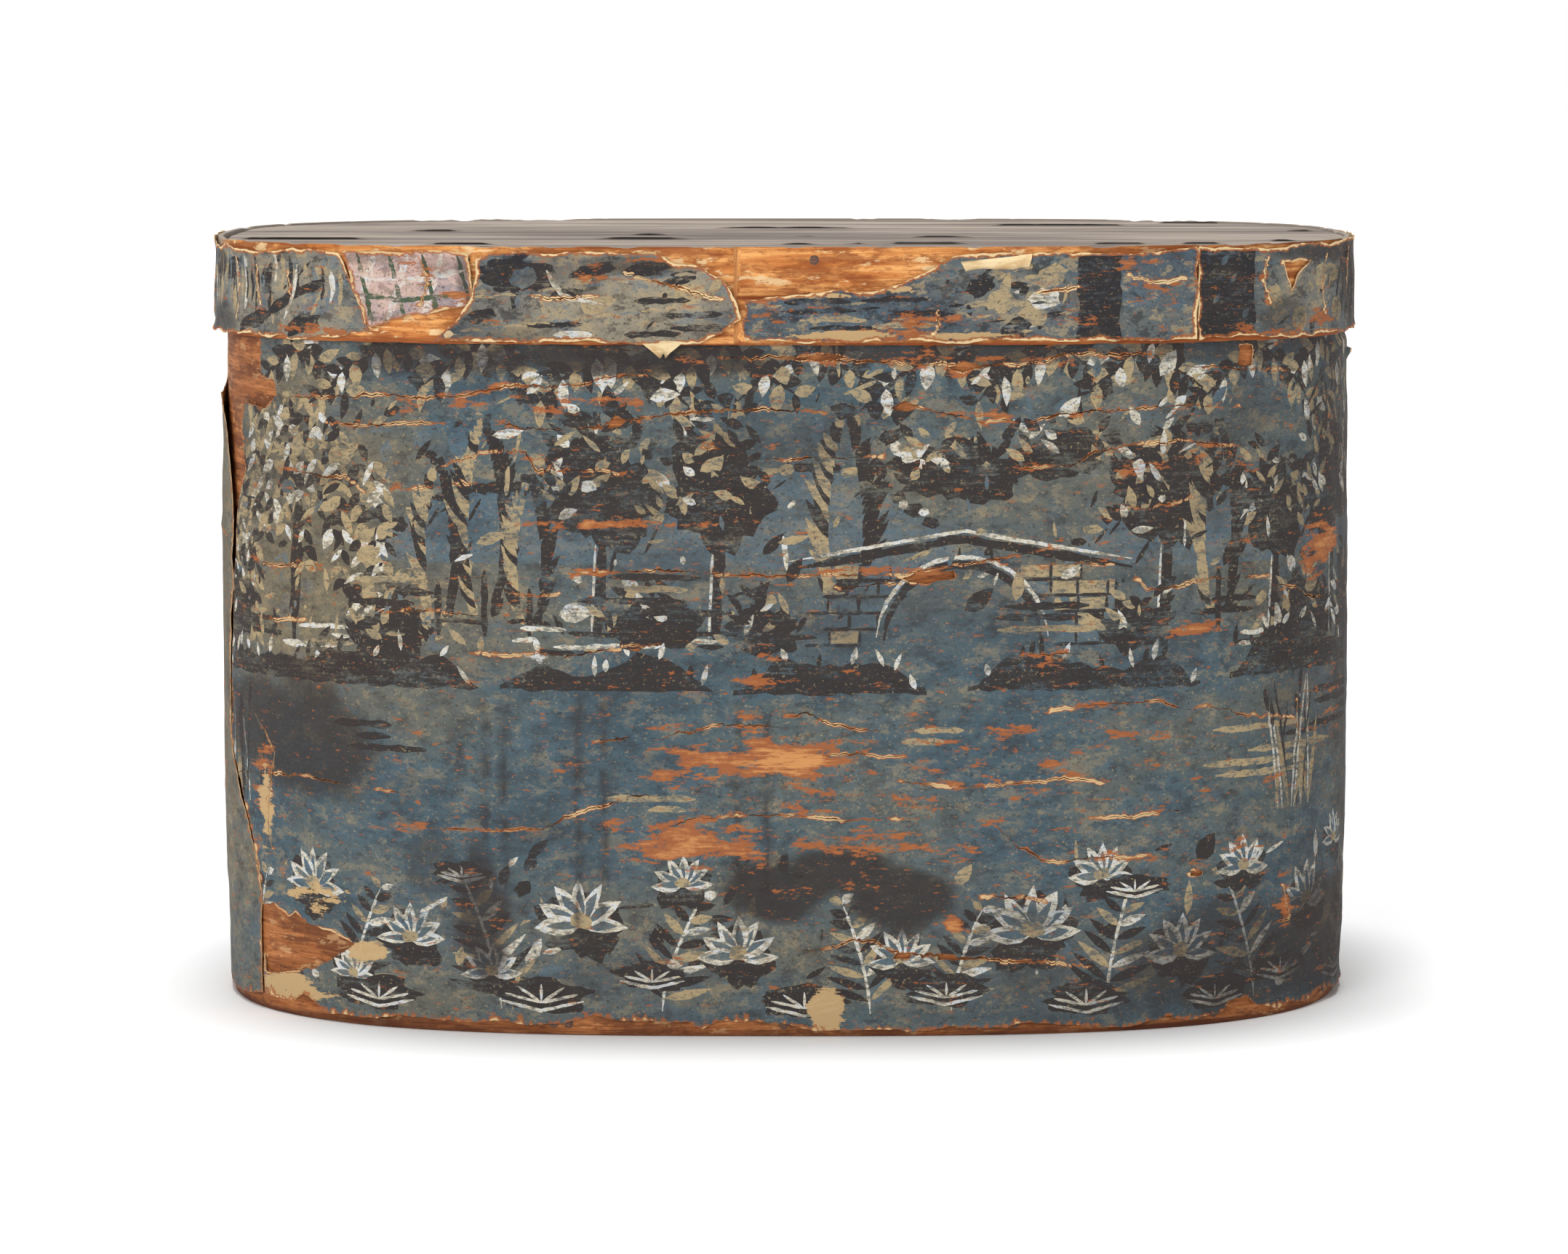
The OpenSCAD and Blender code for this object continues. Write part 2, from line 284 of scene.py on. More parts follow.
class PieceMesh:
    """Gathers points, faces and surface values, then makes one object of them."""

    def __init__(self, name: str) -> None:
        """Starts an empty piece.

        Args:
            name: Name of the piece.
        """
        self.name = name
        self._count = 0
        self._points: list[Array] = []
        self._flat: list[Array] = []
        self._values: list[dict[str, Array]] = []
        self._faces: list[tuple[Array, int, Array, dict[str, Array]]] = []

    def spots(self, points: Array, flat: Array, **values: Array) -> int:
        """Adds points.

        Args:
            points: Places in the frame, in metres.
            flat: Places on the unrolled piece, in millimetres, for the grain and wear of its finish.
            values: Surface values of each point.

        Returns:
            The number of the first point added.
        """
        first = self._count
        self._count += len(points)
        self._points.append(np.asarray(points, float))
        self._flat.append(np.asarray(flat, float))
        self._values.append({key: np.broadcast_to(v, len(points)) for key, v in values.items()})
        return first

    def faces(self, corners: Array, baked: Array, finish: int = 0, **values: Array) -> None:
        """Adds rows of corners with their baked places, finish and values."""
        self._faces.append((np.asarray(corners, int), finish, np.asarray(baked, float), values))

    def plate(self, number: Array, face: Array, back: Array, edge: Spot, finish: int = 0) -> None:
        """Covers a plate whose face and back are two like grids of points, one after the other.

        Args:
            number: Grid of the face's point numbers, counter-clockwise along its second axis first.
            face: Place of each point of the face on the baked square.
            back: Place of each point of the back there.
            edge: Heights there of the strip that the plate's edge is baked to.
            finish: Number of the finish of the back and the edge.
        """
        quads = np.stack([number[:-1, :-1], number[:-1, 1:], number[1:, 1:], number[1:, :-1]], axis=-1)
        quads = quads.reshape(-1, 4)
        self.faces(quads, face[quads])
        self.faces(quads[:, ::-1] + number.size, back[quads[:, ::-1]], finish)
        rim = np.concatenate([number[0, :], number[1:, -1], number[-1, -2::-1], number[-2:0:-1, 0]])
        ahead = np.roll(rim, -1)
        side = np.stack([rim + number.size, ahead + number.size, ahead, rim], axis=-1)
        self.faces(side, baked_strip(len(rim), *edge), finish)

    def build(
        self, body: Body, slot: str, finishes: list[Material], nodes: tuple[str, ...] = (), sharp: float = 55
    ) -> Piece:
        """Makes the object and ties it to the frame.

        Args:
            body: The body that it moves with.
            slot: Name of a material slot. It is not used.
            finishes: Materials that the faces number.
            nodes: CAD nodes that it stands for.
            sharp: Angle in degrees above which an edge is drawn sharp.

        Returns:
            The new object.
        """
        mesh = bpy.data.meshes.new(self.name)
        points = np.concatenate(self._points)
        mesh.vertices.add(len(points))
        mesh.vertices.foreach_set("co", points.astype(np.float32).ravel())
        corners = np.concatenate([rows.ravel() for rows, *_ in self._faces])
        sizes = np.concatenate([np.full(len(rows), rows.shape[1]) for rows, *_ in self._faces])
        mesh.loops.add(len(corners))
        mesh.loops.foreach_set("vertex_index", corners.astype(np.int32))
        mesh.polygons.add(len(sizes))
        mesh.polygons.foreach_set("loop_start", (np.cumsum(sizes) - sizes).astype(np.int32))
        finish = np.concatenate([np.full(len(rows), number) for rows, number, *_ in self._faces])
        mesh.polygons.foreach_set("material_index", finish.astype(np.int32))
        mesh.update(calc_edges=True)
        baked = np.concatenate([spots.reshape(-1, 2) for _, _, spots, _ in self._faces])
        layer = mesh.uv_layers.new(name="OFBake")
        layer.data.foreach_set("uv", baked.astype(np.float32).ravel())
        self._add_values(mesh)
        mesh.polygons.foreach_set("use_smooth", np.ones(len(sizes), bool))
        mesh.set_sharp_from_angle(angle=math.radians(sharp))
        mesh.validate()
        for material in finishes:
            mesh.materials.append(material)
        made = bpy.data.objects.new(self.name, mesh)
        bpy.context.scene.collection.objects.link(made)
        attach(made, body.value)
        if nodes:
            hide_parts(*nodes)
        return made

    def _add_values(self, mesh: bpy.types.Mesh) -> None:
        """Puts the flat places and the surface values on the mesh.

        Args:
            mesh: The mesh of this piece.
        """
        flat = mesh.attributes.new("flat_place", "FLOAT_VECTOR", "POINT")
        places = METRES * np.concatenate(self._flat)
        flat.data.foreach_set("vector", places.astype(np.float32).ravel())
        on_points = [(len(points), values) for points, values in zip(self._points, self._values)]
        on_faces = [(len(rows), values) for rows, _, _, values in self._faces]
        for domain, blocks in (("POINT", on_points), ("FACE", on_faces)):
            for key in sorted({key for _, values in blocks for key in values}):
                parts = [values.get(key, np.zeros(count)) for count, values in blocks]
                layer = mesh.attributes.new(key, "FLOAT", domain)
                layer.data.foreach_set("value", np.concatenate(parts).astype(np.float32))


# Shader tools


def linear(tone: Tone) -> tuple[float, float, float, float]:
    """Linear colour of screen numbers from 0 to 255."""
    shares = [number / 255 for number in tone]
    return (*[s / 12.92 if s <= 0.04045 else ((s + 0.055) / 1.055) ** 2.4 for s in shares], 1.0)


class Value:
    """A shader socket that takes plain arithmetic."""

    def __init__(self, graph: "Graph", socket: bpy.types.NodeSocket) -> None:
        """Wraps a socket of a graph."""
        self.graph = graph
        self.socket = socket

    def __add__(self, other: "Value | float") -> "Value":
        """The sum."""
        return self.graph.math("ADD", self, other)

    __radd__ = __add__

    def __mul__(self, other: "Value | float") -> "Value":
        """The product."""
        return self.graph.math("MULTIPLY", self, other)

    __rmul__ = __mul__

    def __sub__(self, other: "Value | float") -> "Value":
        """The difference."""
        return self.graph.math("SUBTRACT", self, other)

    def __rsub__(self, other: float) -> "Value":
        """A number less this value."""
        return self.graph.math("SUBTRACT", other, self)

    def most(self, other: "Value | float") -> "Value":
        """The larger of two values."""
        return self.graph.math("MAXIMUM", self, other)

    def held(self) -> "Value":
        """The value held between 0 and 1."""
        return self.graph.math("MINIMUM", self.most(0.0), 1.0)

    def ramp(self, low: float, high: float) -> "Value":
        """A smooth rise.

        Args:
            low: Value where it is 0.
            high: Value where it is 1. It falls where this is the smaller.

        Returns:
            The value after the rise.
        """
        rises = low < high
        limits = {"Value": self, "From Min": min(low, high), "From Max": max(low, high)}
        limits |= {"To Min": 0.0, "To Max": 1.0} if rises else {"To Min": 1.0, "To Max": 0.0}
        return self.graph.node("ShaderNodeMapRange", {"interpolation_type": "SMOOTHSTEP"}, limits)


class Graph:
    """The node graph of one material or of the world."""

    def __init__(self, owner: bpy.types.Material | bpy.types.World) -> None:
        """Starts an empty graph.

        Args:
            owner: The material or world whose nodes these are.
        """
        self.owner = owner
        owner.use_nodes = True
        self.tree = owner.node_tree
        self.tree.nodes.clear()

    def node(
        self, kind: str, settings: dict | None = None, inputs: dict | None = None, output: str | int = 0
    ) -> Value | None:
        """Adds a node.

        Args:
            kind: The node's type.
            settings: Its own settings, which are set first.
            inputs: Values or links of its sockets, by name or number.
            output: The output that is wanted, by name or number.

        Returns:
            That output, or None where the node has no outputs.
        """
        made = self.tree.nodes.new(kind)
        for key, setting in (settings or {}).items():
            setattr(made, key, setting)
        for key, given in (inputs or {}).items():
            self._feed(made.inputs[key], given)
        return Value(self, made.outputs[output]) if made.outputs else None

    def _feed(self, socket: bpy.types.NodeSocket, given: object) -> None:
        """Links a value to a socket, or sets it.

        Args:
            socket: The socket to feed.
            given: A value of the graph, or a plain number, tone or vector.
        """
        if isinstance(given, Value):
            self.tree.links.new(given.socket, socket)
        else:
            socket.default_value = linear(given) if socket.type == "RGBA" else given

    def math(self, operation: str, first: Value | float, second: Value | float) -> Value:
        """One step of arithmetic."""
        return self.node("ShaderNodeMath", {"operation": operation}, {0: first, 1: second})

    def vector(self, operation: str, first: Value, second: Tone) -> Value:
        """One step of arithmetic on vectors."""
        return self.node("ShaderNodeVectorMath", {"operation": operation}, {0: first, 1: second})

    def value(self, name: str) -> Value:
        """A surface value of the mesh."""
        return self.node("ShaderNodeAttribute", {"attribute_name": name}, output="Fac")

    @cached_property
    def flat(self) -> Value:
        """The place on the unrolled piece."""
        return self.node("ShaderNodeAttribute", {"attribute_name": "flat_place"}, output="Vector")

    def noise(
        self, size: Spot, detail: float = 4.0, rough: float = 0.55, shift: float = 0.0, bend: float = 0.0
    ) -> Value:
        """Noise from 0 to 1.

        Args:
            size: Length of its patches along and across the piece, in millimetres.
            detail: Number of finer layers.
            rough: Strength of each finer layer.
            shift: Distance to another part of the noise, in metres.
            bend: Distortion.

        Returns:
            The noise.
        """
        moved = self.vector("ADD", self.flat, (shift, shift * 0.7, shift * 0.3))
        placed = self.vector("MULTIPLY", moved, tuple(1 / (length * METRES) for length in (*size, min(size))))
        inputs = {"Vector": placed, "Scale": 1.0, "Detail": detail, "Roughness": rough, "Distortion": bend}
        return self.node("ShaderNodeTexNoise", {"noise_dimensions": "3D"}, inputs)

    def blend(self, share: Value | float, under: Value | Tone, over: Value | Tone) -> Value:
        """Lays one colour over another by a share."""
        settings = {"data_type": "RGBA", "blend_type": "MIX", "clamp_factor": True}
        return self.node("ShaderNodeMix", settings, {0: share, 6: under, 7: over}, output=2)

    def surface(
        self, colour: Value | Tone, rough: Value | float, height: Value, depth: float, metal: float = 0.0
    ) -> Material:
        """Ends the graph in a matt surface with a fine relief.

        Args:
            colour: Base colour.
            rough: Roughness.
            height: Relief from 0 to 1.
            depth: Depth of that relief, in millimetres.
            metal: Share of bare metal.

        Returns:
            The finished material.
        """
        relief = {"Height": height, "Strength": 1.0, "Distance": depth * METRES}
        look = {"Base Color": colour, "Roughness": rough, "Metallic": metal, "Specular IOR Level": 0.25}
        look["Normal"] = self.node("ShaderNodeBump", inputs=relief)
        shader = self.node("ShaderNodeBsdfPrincipled", inputs=look)
        self.node("ShaderNodeOutputMaterial", inputs={0: shader})
        return self.owner


# Finishes of wood, iron and plain paper


@dataclass(frozen=True)
class Finish:
    """A named finish that makes its own material."""

    name: str

    def _graph(self) -> Graph:
        """An empty graph of a new material."""
        return Graph(bpy.data.materials.new(self.name))


@dataclass(frozen=True)
class WoodFinish(Finish):
    """Bare wood with grain along the piece, dark streaks, grime and painted shade."""

    pale: Tone
    deep: Tone
    streak: Tone
    grain: Spot
    streak_share: float
    grime_share: float
    depth: float
    glue: Tone = (226, 184, 132)
    glue_share: float = 0.0
    grey: Tone = (116, 103, 92)
    blot_share: float = 0.0
    contrast: float = 0.17
    thread_share: float = 0.0

    def material(self) -> Material:
        """Builds the material.

        Returns:
            The new material.
        """
        g = self._graph()
        long, thin = self.grain
        fibre = g.noise(self.grain, 5.0, 0.62, bend=0.3)
        broad = g.noise((long * 1.6, thin * 9), 3.0, 0.5, shift=0.31)
        line = g.noise((long * 0.7, thin * 0.55), 3.0, 0.7, shift=0.77)
        patch = g.noise((34.0, 22.0), 4.0, 0.6, shift=1.3)
        ring = (fibre * 0.7 + broad * 0.4).ramp(0.55 - self.contrast, 0.55 + self.contrast)
        colour = g.blend(ring, self.deep, self.pale)
        thread = g.noise((long, 1.1), 5.0, 0.66, shift=4.7)
        colour = g.blend(thread.ramp(0.5, 0.64) * self.thread_share, colour, self.deep)
        # The surface value read here holds the dark of cracks and grain together with painted shade: at a
        # bent strip's lower edge and in a board's open cracks.
        streaks = line.ramp(0.53, 0.64) * g.value("crack").most(self.streak_share)
        colour = g.blend(streaks, colour, self.streak)
        blot = g.noise((34.0, 11.0), 8.0, 0.68, shift=3.4)
        colour = g.blend(blot.ramp(0.48, 0.56) * self.blot_share, colour, self.streak)
        fleck = g.noise((5.0, 1.8), 5.0, 0.7, shift=5.9)
        colour = g.blend(fleck.ramp(0.53, 0.6) * self.blot_share * 0.7, colour, self.streak)
        glue = g.noise((15.0, 5.0), 7.0, 0.7, shift=2.1)
        colour = g.blend(glue.ramp(0.565, 0.61) * self.glue_share, colour, self.glue)
        # This darkening is patchy grime together with painted shade from that same surface value.
        grime = patch.ramp(0.5, 0.75) * self.grime_share + g.value("crack").ramp(0.5, 0.95) * 0.85
        colour = g.blend(grime.held(), colour, self.streak)
        weather = g.value("weather") * 1.4 + line * 0.8 - 0.6
        colour = g.blend(weather.held(), colour, self.grey)
        return g.surface(colour, 0.86 - fibre * 0.2, fibre * 0.6 + line * 0.4, self.depth)


@dataclass(frozen=True)
class LiningFinish(Finish):
    """Plain aged rag paper with foxing and soft folds."""

    pale: Tone = (206, 187, 152)
    aged: Tone = (176, 148, 110)
    foxed: Tone = (128, 94, 62)

    def material(self) -> Material:
        """Builds the material.

        Returns:
            The new material.
        """
        g = self._graph()
        cloud = g.noise((60.0, 46.0), 5.0, 0.6)
        fibre = g.noise((1.6, 0.9), 4.0, 0.7, shift=0.4)
        speck = g.noise((9.0, 8.0), 3.0, 0.6, shift=0.9)
        colour = g.blend(cloud.ramp(0.35, 0.72), self.pale, self.aged)
        colour = g.blend(speck.ramp(0.66, 0.76) * 0.7, colour, self.foxed)
        colour = g.blend(fibre.ramp(0.5, 0.8) * 0.25, colour, self.aged)
        return g.surface(colour, 0.93 - fibre * 0.1, fibre * 0.5 + cloud * 0.5, 0.12)


@dataclass(frozen=True)
class IronFinish(Finish):
    """Rusted iron with dark scale."""

    scale: Tone = (86, 73, 67)
    rust: Tone = (126, 86, 64)
    worn: Tone = (146, 134, 124)

    def material(self) -> Material:
        """Builds the material.

        Returns:
            The new material.
        """
        g = self._graph()
        patch = g.noise((1.1, 0.9), 4.0, 0.65)
        pit = g.noise((0.35, 0.35), 3.0, 0.6, shift=0.2)
        colour = g.blend(patch.ramp(0.42, 0.62), self.scale, self.rust)
        colour = g.blend(pit.ramp(0.6, 0.74) * 0.5, colour, self.worn)
        return g.surface(colour, 0.8 - patch * 0.25, patch * 0.5 + pit * 0.5, 0.1, metal=0.25)


@dataclass(frozen=True)
class RawPaperFinish(Finish):
    """The torn thickness and the back of a sheet."""

    pale: Tone = (214, 190, 150)
    aged: Tone = (160, 118, 82)
    deep: Tone = (104, 74, 50)

    def material(self) -> Material:
        """Builds the material.

        Returns:
            The new material.
        """
        g = self._graph()
        fibre = g.noise((4.0, 0.9), 5.0, 0.72)
        patch = g.noise((12.0, 4.0), 5.0, 0.66, shift=0.6)
        colour = g.blend(patch.ramp(0.4, 0.66), self.pale, self.aged)
        colour = g.blend(fibre.ramp(0.5, 0.68) * 0.6, colour, self.aged)
        colour = g.blend(g.value("shade") * 0.75, colour, self.deep)
        return g.surface(colour, 0.95 - fibre * 0.1, fibre, 0.15)


# Wooden pieces, linings and nails


@dataclass
class BentBand:
    """A thin strip bent round the oval, its outer end lapped over its inner end.

    Lengths are in millimetres, and offsets are from the bare side band's outer face.
    """

    name: str
    body: Body
    slot: str
    node: str
    low: float
    high: float
    inner: float
    outer: float
    lap_run: float
    seed: int
    lap_step: float = 0.5
    lap_reach: float = 0.9
    corner: float = 0.4
    relief: float = 0.1
    chip: float = 0.5
    chip_reach: float = 1.5
    segments: int = 560
    outer_rows: int = 60
    inner_rows: int = 20
    grey_top: float = 0.0
    grey_run: float = FAR
    grey_rise: float = 40.0
    grey_most: float = 0.85
    brown_run: float = FAR
    brown_rise: float = 50.0

    def _section(self) -> tuple[Array, Array, Array]:
        """Draws the strip's section.

        Returns:
            Offsets, heights and the share of outward relief round it.
        """
        bevel = min(self.corner, (self.outer - self.inner) / 3)
        nick = 0.3 * bevel
        levels = (self.low + bevel, self.high - bevel)
        up = [(self.outer, level) for level in np.linspace(*levels, self.outer_rows)]
        down = [(self.inner, level) for level in np.linspace(*levels[::-1], self.inner_rows)]
        top = [(self.outer - nick, self.high - nick), (self.outer - bevel, self.high)]
        top += [(self.inner + bevel, self.high), (self.inner + nick, self.high - nick)]
        foot = [(self.inner + nick, self.low + nick), (self.inner + bevel, self.low)]
        foot += [(self.outer - bevel, self.low), (self.outer - nick, self.low + nick)]
        offsets, heights = np.array(up + top + down + foot).T
        return offsets, heights, (np.arange(len(offsets)) < self.outer_rows).astype(float)

    def _wear(self, plan: OvalPlan, run: Array, height: Array, face: Array, rough: Array) -> dict[str, Array]:
        """How cracked and how weathered the strip is, with painted shade towards its lower edge.

        Args:
            plan: The plan that it is bent round.
            run: Runs of its points.
            height: Their heights.
            face: 1 on the outer face, 0 elsewhere.
            rough: How rough the grain of the outer face is.

        Returns:
            The surface values of its points.
        """
        crack = np.clip(rough, 0, 1) * face + 0.3 * (1 - face)
        # Painted shade: the colour darkens towards the strip's lower edge, standing in for the shade where
        # the box's foot meets the floor; the lid's rim gets the same at its lower edge.
        crack += 0.75 * np.exp(-(height - self.low) / 2.5) + 0.4 * np.exp(-(self.high - height) / 0.9)
        along = plan.centred(run)
        brown = 0.34 * ease(along, self.brown_run, self.brown_run + self.brown_rise)
        crack = np.clip(np.clip(crack, 0, 1) + brown, 0, 1)
        weather = self.grey_top * (1 - face) * ease(height, self.high - 1.3, self.high - 0.4)
        grey = ease(np.abs(along), self.grey_run, self.grey_run + self.grey_rise)
        weather = np.maximum(weather, np.minimum(grey, self.grey_most))
        return {"crack": crack.ravel(), "weather": weather.ravel()}

    def build(self, plan: OvalPlan, finish: Material) -> Piece:
        """Builds and dresses the strip.

        Args:
            plan: The plan that it is bent round.
            finish: Its material.

        Returns:
            The new object.
        """
        offsets, heights, face = self._section()
        whole = 2 * plan.half_round
        run = self.lap_run + np.linspace(0, whole, self.segments, endpoint=False)
        run, offset = np.meshgrid(run, offsets, indexing="ij")
        height = np.broadcast_to(heights, run.shape).copy()
        face = np.broadcast_to(face, run.shape)
        grain = Ripple(self.seed, 110, 1.6, 4).at(run, height)
        away = np.minimum(run - self.lap_run, self.lap_run + whole - run)
        lap = self.lap_step * np.exp(-((away / self.lap_reach) ** 2))
        offset = offset + face * (self.relief * (grain - 1) - lap)
        worn = np.clip(Ripple(self.seed + 2, 14, 14, 4).at(run, 0 * height) * 2 - 0.15, 0, 1)
        rough = 0.35 - grain * 0.9 + 0.2 * Ripple(self.seed + 1, 140, 60, 2).at(run, height)
        height -= self.chip * worn * ease(height, self.high - self.chip_reach, self.high)
        height += 0.4 * self.chip * worn * ease(height, self.low + self.chip_reach, self.low)
        piece = PieceMesh(self.name)
        flat = np.stack([run, height, offset * 4], axis=-1).reshape(-1, 3)
        wear = self._wear(plan, run, height, face, rough)
        piece.spots(plan.place(run, height, offset).reshape(-1, 3), flat, **wear)
        rows = len(offsets)
        number = np.arange(run.size).reshape(run.shape)
        ahead = np.roll(number, -1, axis=0)
        corners = np.stack([number, ahead, np.roll(ahead, -1, axis=1), np.roll(number, -1, axis=1)], axis=-1)
        piece.faces(corners.reshape(-1, 4), baked_cells(self.segments, rows).reshape(-1, 4, 2))
        return piece.build(self.body, self.slot, [finish], (self.node,))


@dataclass(frozen=True)
class BoardCrack:
    """A crack along the grain of a board, in millimetres."""

    left: float
    right: float
    deep: float
    width: float
    depth: float


@dataclass
class OvalBoard:
    """A flat oval board or sheet with grain along its width, in millimetres.

    A gap gives its two ends along the edge and how far the edge is worn back between them.
    """

    name: str
    body: Body
    slot: str
    node: str
    low: float
    high: float
    offset: float
    seed: int
    relief: float = 0.15
    rows: int = 230
    columns: int = 150
    cracks: tuple[BoardCrack, ...] = ()
    front_gaps: tuple[Tone, ...] = ()
    left_gaps: tuple[Tone, ...] = ()
    splinter: float = 0.7
    edge_round: float = 0.8

    def _grid(self, plan: OvalPlan) -> tuple[Array, Array, Array]:
        """Places across and deep of the grid, and the distance of each from the edge.

        Args:
            plan: The plan that the board follows.

        Returns:
            Places across, places deep and distances.
        """
        wide, deep = plan.half_width + self.offset, plan.half_depth + self.offset
        lean = np.radians(np.linspace(-89.0, 89.0, self.rows))
        lines = (-1.0, -0.3, 0.4, 0.6, 0.75)
        beside = [split.deep + line * split.width for split in self.cracks for line in lines]
        y = np.unique(np.round(np.concatenate([deep * np.sin(lean), beside]), 2))
        reach = wide * (1 - np.abs(y / deep) ** plan.power) ** (1 / plan.power)
        share = np.sin(np.radians(np.linspace(-90.0, 90.0, self.columns)))
        share = 0.6 * share + 0.4 * np.linspace(-1, 1, self.columns)
        x = reach[:, None] * share[None, :]
        y = np.broadcast_to(y[:, None], x.shape).copy()
        fill = (np.abs(x / wide) ** plan.power + np.abs(y / deep) ** plan.power) ** (1 / plan.power)
        return x, y, (1 - fill) * np.minimum(wide, deep)

    def _top(self, x: Array, y: Array, edge: Array) -> tuple[Array, Array]:
        """The relief, the cracks and the darkening of the upper face.

        Args:
            x: Places across.
            y: Places deep.
            edge: Distances from the edge.

        Returns:
            The sink below the full height, and how dark each place is: grain, cracks with painted shade in
            their open hollows, and darker towards the edge.
        """
        grain = Ripple(self.seed, 120, 2.4, 4).at(x, y)
        warp = Ripple(self.seed + 1, 150, 70, 2).at(x, y)
        sink = self.relief * (1 - grain) * 0.5
        crack = np.clip(0.25 - grain * 0.9 + 0.2 * warp, 0, 1)
        for split in self.cracks:
            torn = Ripple(self.seed + 2, 12, 12, 3).at(x, 0 * y + split.deep * 9)
            inside = ease(x, split.left, split.left + 5) * ease(x, split.right, split.right - 5)
            inside = inside * np.clip(1.15 + 0.8 * torn, 0.45, 1)
            behind = (y - split.deep) / split.width
            opened = inside * ease(behind, -1, -0.3)
            lifted = inside * ease(behind, 0.4, 0.6) * np.exp(-np.maximum(behind - 0.6, 0) / 6)
            sink += split.depth * opened * ease(behind, 0.6, 0.4) - self.splinter * lifted
            # Painted shade: the colour darkens where a crack lies open, standing in for the shade in its
            # hollow.
            crack = np.maximum(crack, opened * ease(behind, 0.75, 0.6))
        near = ease(edge, 2 * self.edge_round, 0)
        return sink + self.edge_round * 0.5 * near**2, np.clip(crack + 0.35 * near, 0, 1)

    def _bent(self, x: Array, y: Array, edge: Array) -> Array:
        """Bends the grid so that each crack wanders and narrows to its ends.

        Args:
            x: Places across.
            y: Places deep.
            edge: Distances from the edge.

        Returns:
            The new places deep.
        """
        for number, split in enumerate(self.cracks):
            share = ease(x, split.left, split.right)
            taper = np.maximum(np.sqrt(np.sin(math.pi * share)), 0.2)
            gap = y - split.deep
            near = np.exp(-((gap / (2.2 * split.width)) ** 2)) * ease(edge, 0, 6)
            wander = 0.9 * Ripple(self.seed + 20 + number, 26, 26, 3).at(x, 0 * y + split.deep)
            y = y + near * (wander - gap * (1 - taper))
        return y

    def build(self, plan: OvalPlan, finish: Material) -> Piece:
        """Builds and dresses the board.

        Args:
            plan: The plan that it follows.
            finish: Its material.

        Returns:
            The new object.
        """
        x, y, edge = self._grid(plan)
        sink, crack = self._top(x, y, edge)
        y = self._bent(x, y, edge)
        for left, right, gap in self.front_gaps:
            here = ease(x, left, left + 6) * ease(x, right, right - 6)
            y += np.where(y < 0, gap * here * ease(edge, 7, 0), 0)
        for near, far, gap in self.left_gaps:
            here = ease(y, near, near + 25) * ease(y, far, far - 25)
            x += np.where(x < 0, gap * here * ease(edge, 9, 0), 0)
        piece = PieceMesh(self.name)
        top = np.stack([x, y, self.high - sink], axis=-1).reshape(-1, 3)
        foot = np.stack([x, y, np.full(x.shape, self.low)], axis=-1).reshape(-1, 3)
        piece.spots(METRES * top, top, crack=crack.ravel())
        piece.spots(METRES * foot, foot, crack=0.3 * crack.ravel())
        wide, deep = np.abs(x).max() * 2.02, np.abs(y).max() * 4.08
        spread = np.stack([x.ravel() / wide + 0.5, y.ravel() / deep + 0.25], axis=-1)
        number = np.arange(x.size).reshape(x.shape)
        piece.plate(number, spread, spread * (1, 0.98) + (0, 0.49), (0.985, 1.0))
        return piece.build(self.body, self.slot, [finish], (self.node,))


